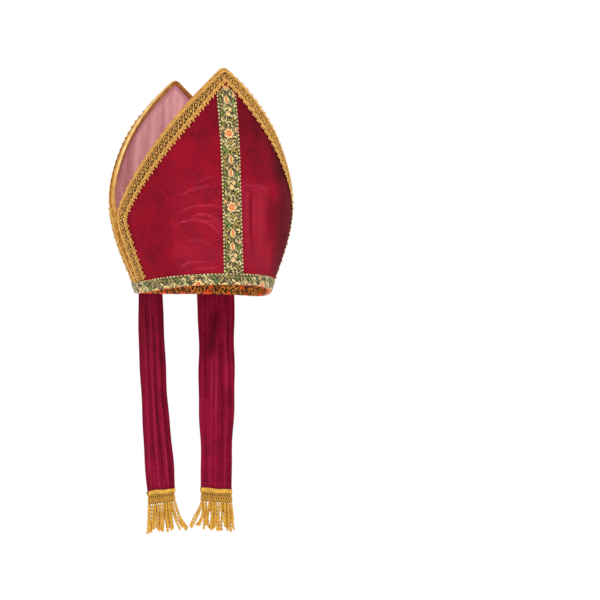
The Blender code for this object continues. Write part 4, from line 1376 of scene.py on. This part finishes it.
def fringe_cords(lappet, trims, bullion):
    inwards = -math.copysign(1.0, lappet.arc)
    rng = np.random.default_rng(7 if lappet.word == "left" else 11)
    runs, radii = [], []
    t = np.linspace(0, 1, 52)
    ply = np.linspace(0, 1, 16)
    for row, (cords, back) in enumerate(((trims.cord_count, 0.0), (trims.cord_count - 3, -0.0022))):
        for k in range(cords):
            share = k / (cords - 1) - 0.5
            # The last cords towards the other lappet flare out.
            flare = 0.016 * inwards * max(0.0, 1 - (0.5 - inwards * share) * (cords - 1) / 2.5)
            splay = 0.004 * (2 * share + 0.30 * math.sin(2.4 * k)) + flare
            start = (LAPPET_END - 0.0034 - 0.002 * row) * share
            drop = HEADING_FOOT - FRINGE_FOOT - 0.0008 - rng.uniform(0, 0.0085) - 0.001 * row
            wander = rng.uniform(-1, 1) * 0.0030 * np.sin(t * math.pi * rng.uniform(1.0, 2.4)) * t
            x = start + splay * t**2 + wander
            z = HEADING_FOOT + 0.0012 - (drop + 0.0012) * t
            level = FRINGE_LIFT + back + rng.uniform(-0.0006, 0.0006) * t + 0.0008 * t * math.sin(5.1 * k)
            spots, outs = with_normals(lambda lift: lappet.place(x, z, lift), level)
            size = trims.cord_thickness / 2 * rng.uniform(0.88, 1.08)
            swell = 1 + 0.10 * smoothstep(0.93, 0.97, t) - 0.5 * smoothstep(0.985, 1.0, t)
            knot = NET / drop
            swell = swell * (0.62 + 0.38 * smoothstep(knot, knot + 0.12, t))
            free = t >= knot
            runs.append((spots[free], outs[free]))
            radii.append(size * swell[free])
            if row == 0:
                # Each front cord starts as two plies. They meet a third of the way down the net,
                # part towards the neighbours' plies and join at its foot.
                z = HEADING_FOOT + 0.0028 - (NET + 0.0030) * ply
                spread = 0.00175 * np.abs(np.cos(ply * 1.5 * math.pi)) * (1 - 0.3 * ply)
                for leg in (-1, 1):
                    x = start + splay * (ply * knot) ** 2 + leg * spread
                    level = FRINGE_LIFT + leg * 0.00045
                    runs.append(with_normals(lambda lift: lappet.place(x, z, lift), level))
                    radii.append(size * 0.44)
    cords = tubes(f"{lappet.word}_bullion", runs, radii, sides=8, twist=0.20, pitch=0.0052)
    finish_piece(cords, bullion, "bullion_fringe", f"{lappet.word}_fringe")
    return cords


class MITRE_OT_lappets(MitreOperator):
    """Make the two velvet lappets with their ribbons and fringes"""

    bl_idname = "mitre.lappets"
    bl_label = "Lappets"

    def execute(self, context):
        form, trims, colours = settings()
        red, gold = tuple(colours.lappet), tuple(colours.bullion)
        velvet = material("lappet_pile_velvet", pile_velvet, red, darker(red, 0.42))
        cloth = material("floral_brocade_weave", woven_brocade, colours)
        # A dark net behind the fringe's plies stands in for the shade between them.
        net = material("brown_fringe_net", dark_shade_net, linear("4a2c10"), linear("8a5a20"))
        bullion = material("bullion_cord", metal_thread, gold, darker(gold, 0.42),
                           metallic=0.18, roughness=0.46, turn_scale=300.0)
        for word, arc, drift, *sewn in LAPPETS:
            lappet = Lappet(form, word, arc, drift)
            strip = lappet_strip(lappet, velvet)
            ribbon = lappet_ribbon(lappet, trims, cloth, *sewn)
            fringe_shade_net(lappet, net)
            cords = fringe_cords(lappet, trims, bullion)
            fringe_heading(lappet, bullion)
            drop = np.linspace(RIM_TOP, LAPPET_FOOT, 200)
            strip_area(lappet.width(drop), drop)
        return {"FINISHED"}


# Where each lamp stands, how wide it is, and its share of the key lamp's power.
LAMPS = (
    ("key", (-1.9, -3.0, 1.7), 1.6, 1.0),
    ("fill", (2.6, -2.2, 0.9), 2.0, 0.28),
    ("back_key", (1.9, 3.0, 1.7), 1.6, 0.9),
    ("back_fill", (-2.6, 2.2, 0.9), 2.0, 0.28),
    ("top", (0.2, 0.0, 3.0), 1.8, 0.35),
)
# The picture's width in pixels, the pixels for a millimetre at the rim, where in the picture the
# rim's middle lies, and the width of the camera's sensor in mm.
PICTURE, SCALE, RIM_AT, SENSOR = 600, 0.705, (203.2, 290.5), 36.0


class MITRE_OT_stage(MitreOperator):
    """Make the floor, the soft light and the camera"""

    bl_idname = "mitre.stage"
    bl_label = "Floor, light and camera"

    def execute(self, context):
        scene = context.scene
        stage = scene.mitre_stage
        bpy.ops.mesh.primitive_plane_add(size=16.0, location=(0, 0, -stage.floor_drop))
        floor = context.object
        floor.name = "floor"
        paper, tree = new_material("matt_white_paper")
        shade = ramp(tree, noise(tree, None, 60.0, 3.0), (0.3, 0.915), (0.7, 0.925))
        floor.data.materials.append(finish_material(paper, shade, {"Roughness": 0.9}))
        world = bpy.data.worlds.new("white_studio")
        world.use_nodes = True
        background = world.node_tree.nodes["Background"]
        background.inputs["Color"].default_value = (1.0, 1.0, 1.0, 1.0)
        background.inputs["Strength"].default_value = stage.world_light
        scene.world = world
        for name, place, size, share in LAMPS:
            lamp = bpy.data.lights.new(name, "AREA")
            lamp.shape = "DISK"
            lamp.size = size
            lamp.energy = stage.key_light * share * 4
            holder = bpy.data.objects.new(name, lamp)
            holder.location = place
            aim = Vector((0, 0, 0.05)) - Vector(place)
            holder.rotation_euler = aim.to_track_quat("-Z", "Y").to_euler()
            scene.collection.objects.link(holder)
        scene.camera = self.camera(stage)
        scene.collection.objects.link(scene.camera)
        scene.view_settings.view_transform = "Standard"
        scene.view_settings.look = "None"
        return {"FINISHED"}

    def camera(self, stage):
        """The camera looks at the middle of the picture, with the mitre in its left half."""
        a, e, r = stage.azimuth, stage.elevation, stage.roll
        right = Vector((math.cos(a), math.sin(a), 0))
        back = Vector((math.sin(a) * math.cos(e), -math.cos(a) * math.cos(e), math.sin(e)))
        up = back.cross(right)
        across = math.cos(r) * right + math.sin(r) * up
        upward = -math.sin(r) * right + math.cos(r) * up
        x, y = ((PICTURE / 2 - place) / SCALE * MM for place in RIM_AT)
        camera = bpy.data.cameras.new("camera")
        camera.sensor_width = SENSOR
        camera.lens = SCALE * stage.distance / MM / PICTURE * SENSOR
        camera.clip_start, camera.clip_end = 0.1, 100.0
        holder = bpy.data.objects.new("camera", camera)
        spot = back * stage.distance
        look = (across * x - upward * y - spot).normalized()
        side = look.cross(upward).normalized()
        turn = Matrix((side, side.cross(look), -look)).transposed().to_4x4()
        holder.matrix_world = Matrix.Translation(spot) @ turn
        return holder


class MITRE_PT_panel(bpy.types.Panel):
    """Lists the steps that dress the mitre"""

    bl_idname = "MITRE_PT_panel"
    bl_label = "Mitre"
    bl_space_type = "VIEW_3D"
    bl_region_type = "UI"
    bl_category = "Mitre"

    def draw(self, context):
        for step in STEPS:
            self.layout.operator(step.bl_idname)
        for name, _ in GROUPS:
            group = getattr(context.scene, name)
            box = self.layout.box()
            for key in group.bl_rna.properties.keys():
                if key not in ("rna_type", "name"):
                    box.prop(group, key)


GROUPS = (
    ("mitre_form", MitreForm),
    ("mitre_trims", MitreTrims),
    ("mitre_colours", MitreColours),
    ("mitre_stage", MitreStage),
)
STEPS = (
    MITRE_OT_panels,
    MITRE_OT_linings,
    MITRE_OT_bindings,
    MITRE_OT_laces,
    MITRE_OT_rim_band,
    MITRE_OT_orphrey,
    MITRE_OT_lappets,
    MITRE_OT_stage,
)


def register():
    for name, group in GROUPS:
        bpy.utils.register_class(group)
        setattr(bpy.types.Scene, name, PointerProperty(type=group))
    for kind in (*STEPS, MITRE_PT_panel):
        bpy.utils.register_class(kind)


def unregister():
    for kind in (MITRE_PT_panel, *reversed(STEPS)):
        bpy.utils.unregister_class(kind)
    for name, group in reversed(GROUPS):
        delattr(bpy.types.Scene, name)
        bpy.utils.unregister_class(group)


def main():
    register()
    bpy.ops.mitre.panels()
    bpy.ops.mitre.linings()
    bpy.ops.mitre.bindings()
    bpy.ops.mitre.laces()
    bpy.ops.mitre.rim_band()
    bpy.ops.mitre.orphrey()
    bpy.ops.mitre.lappets()
    bpy.ops.mitre.stage()


if __name__ == "__main__":
    main()
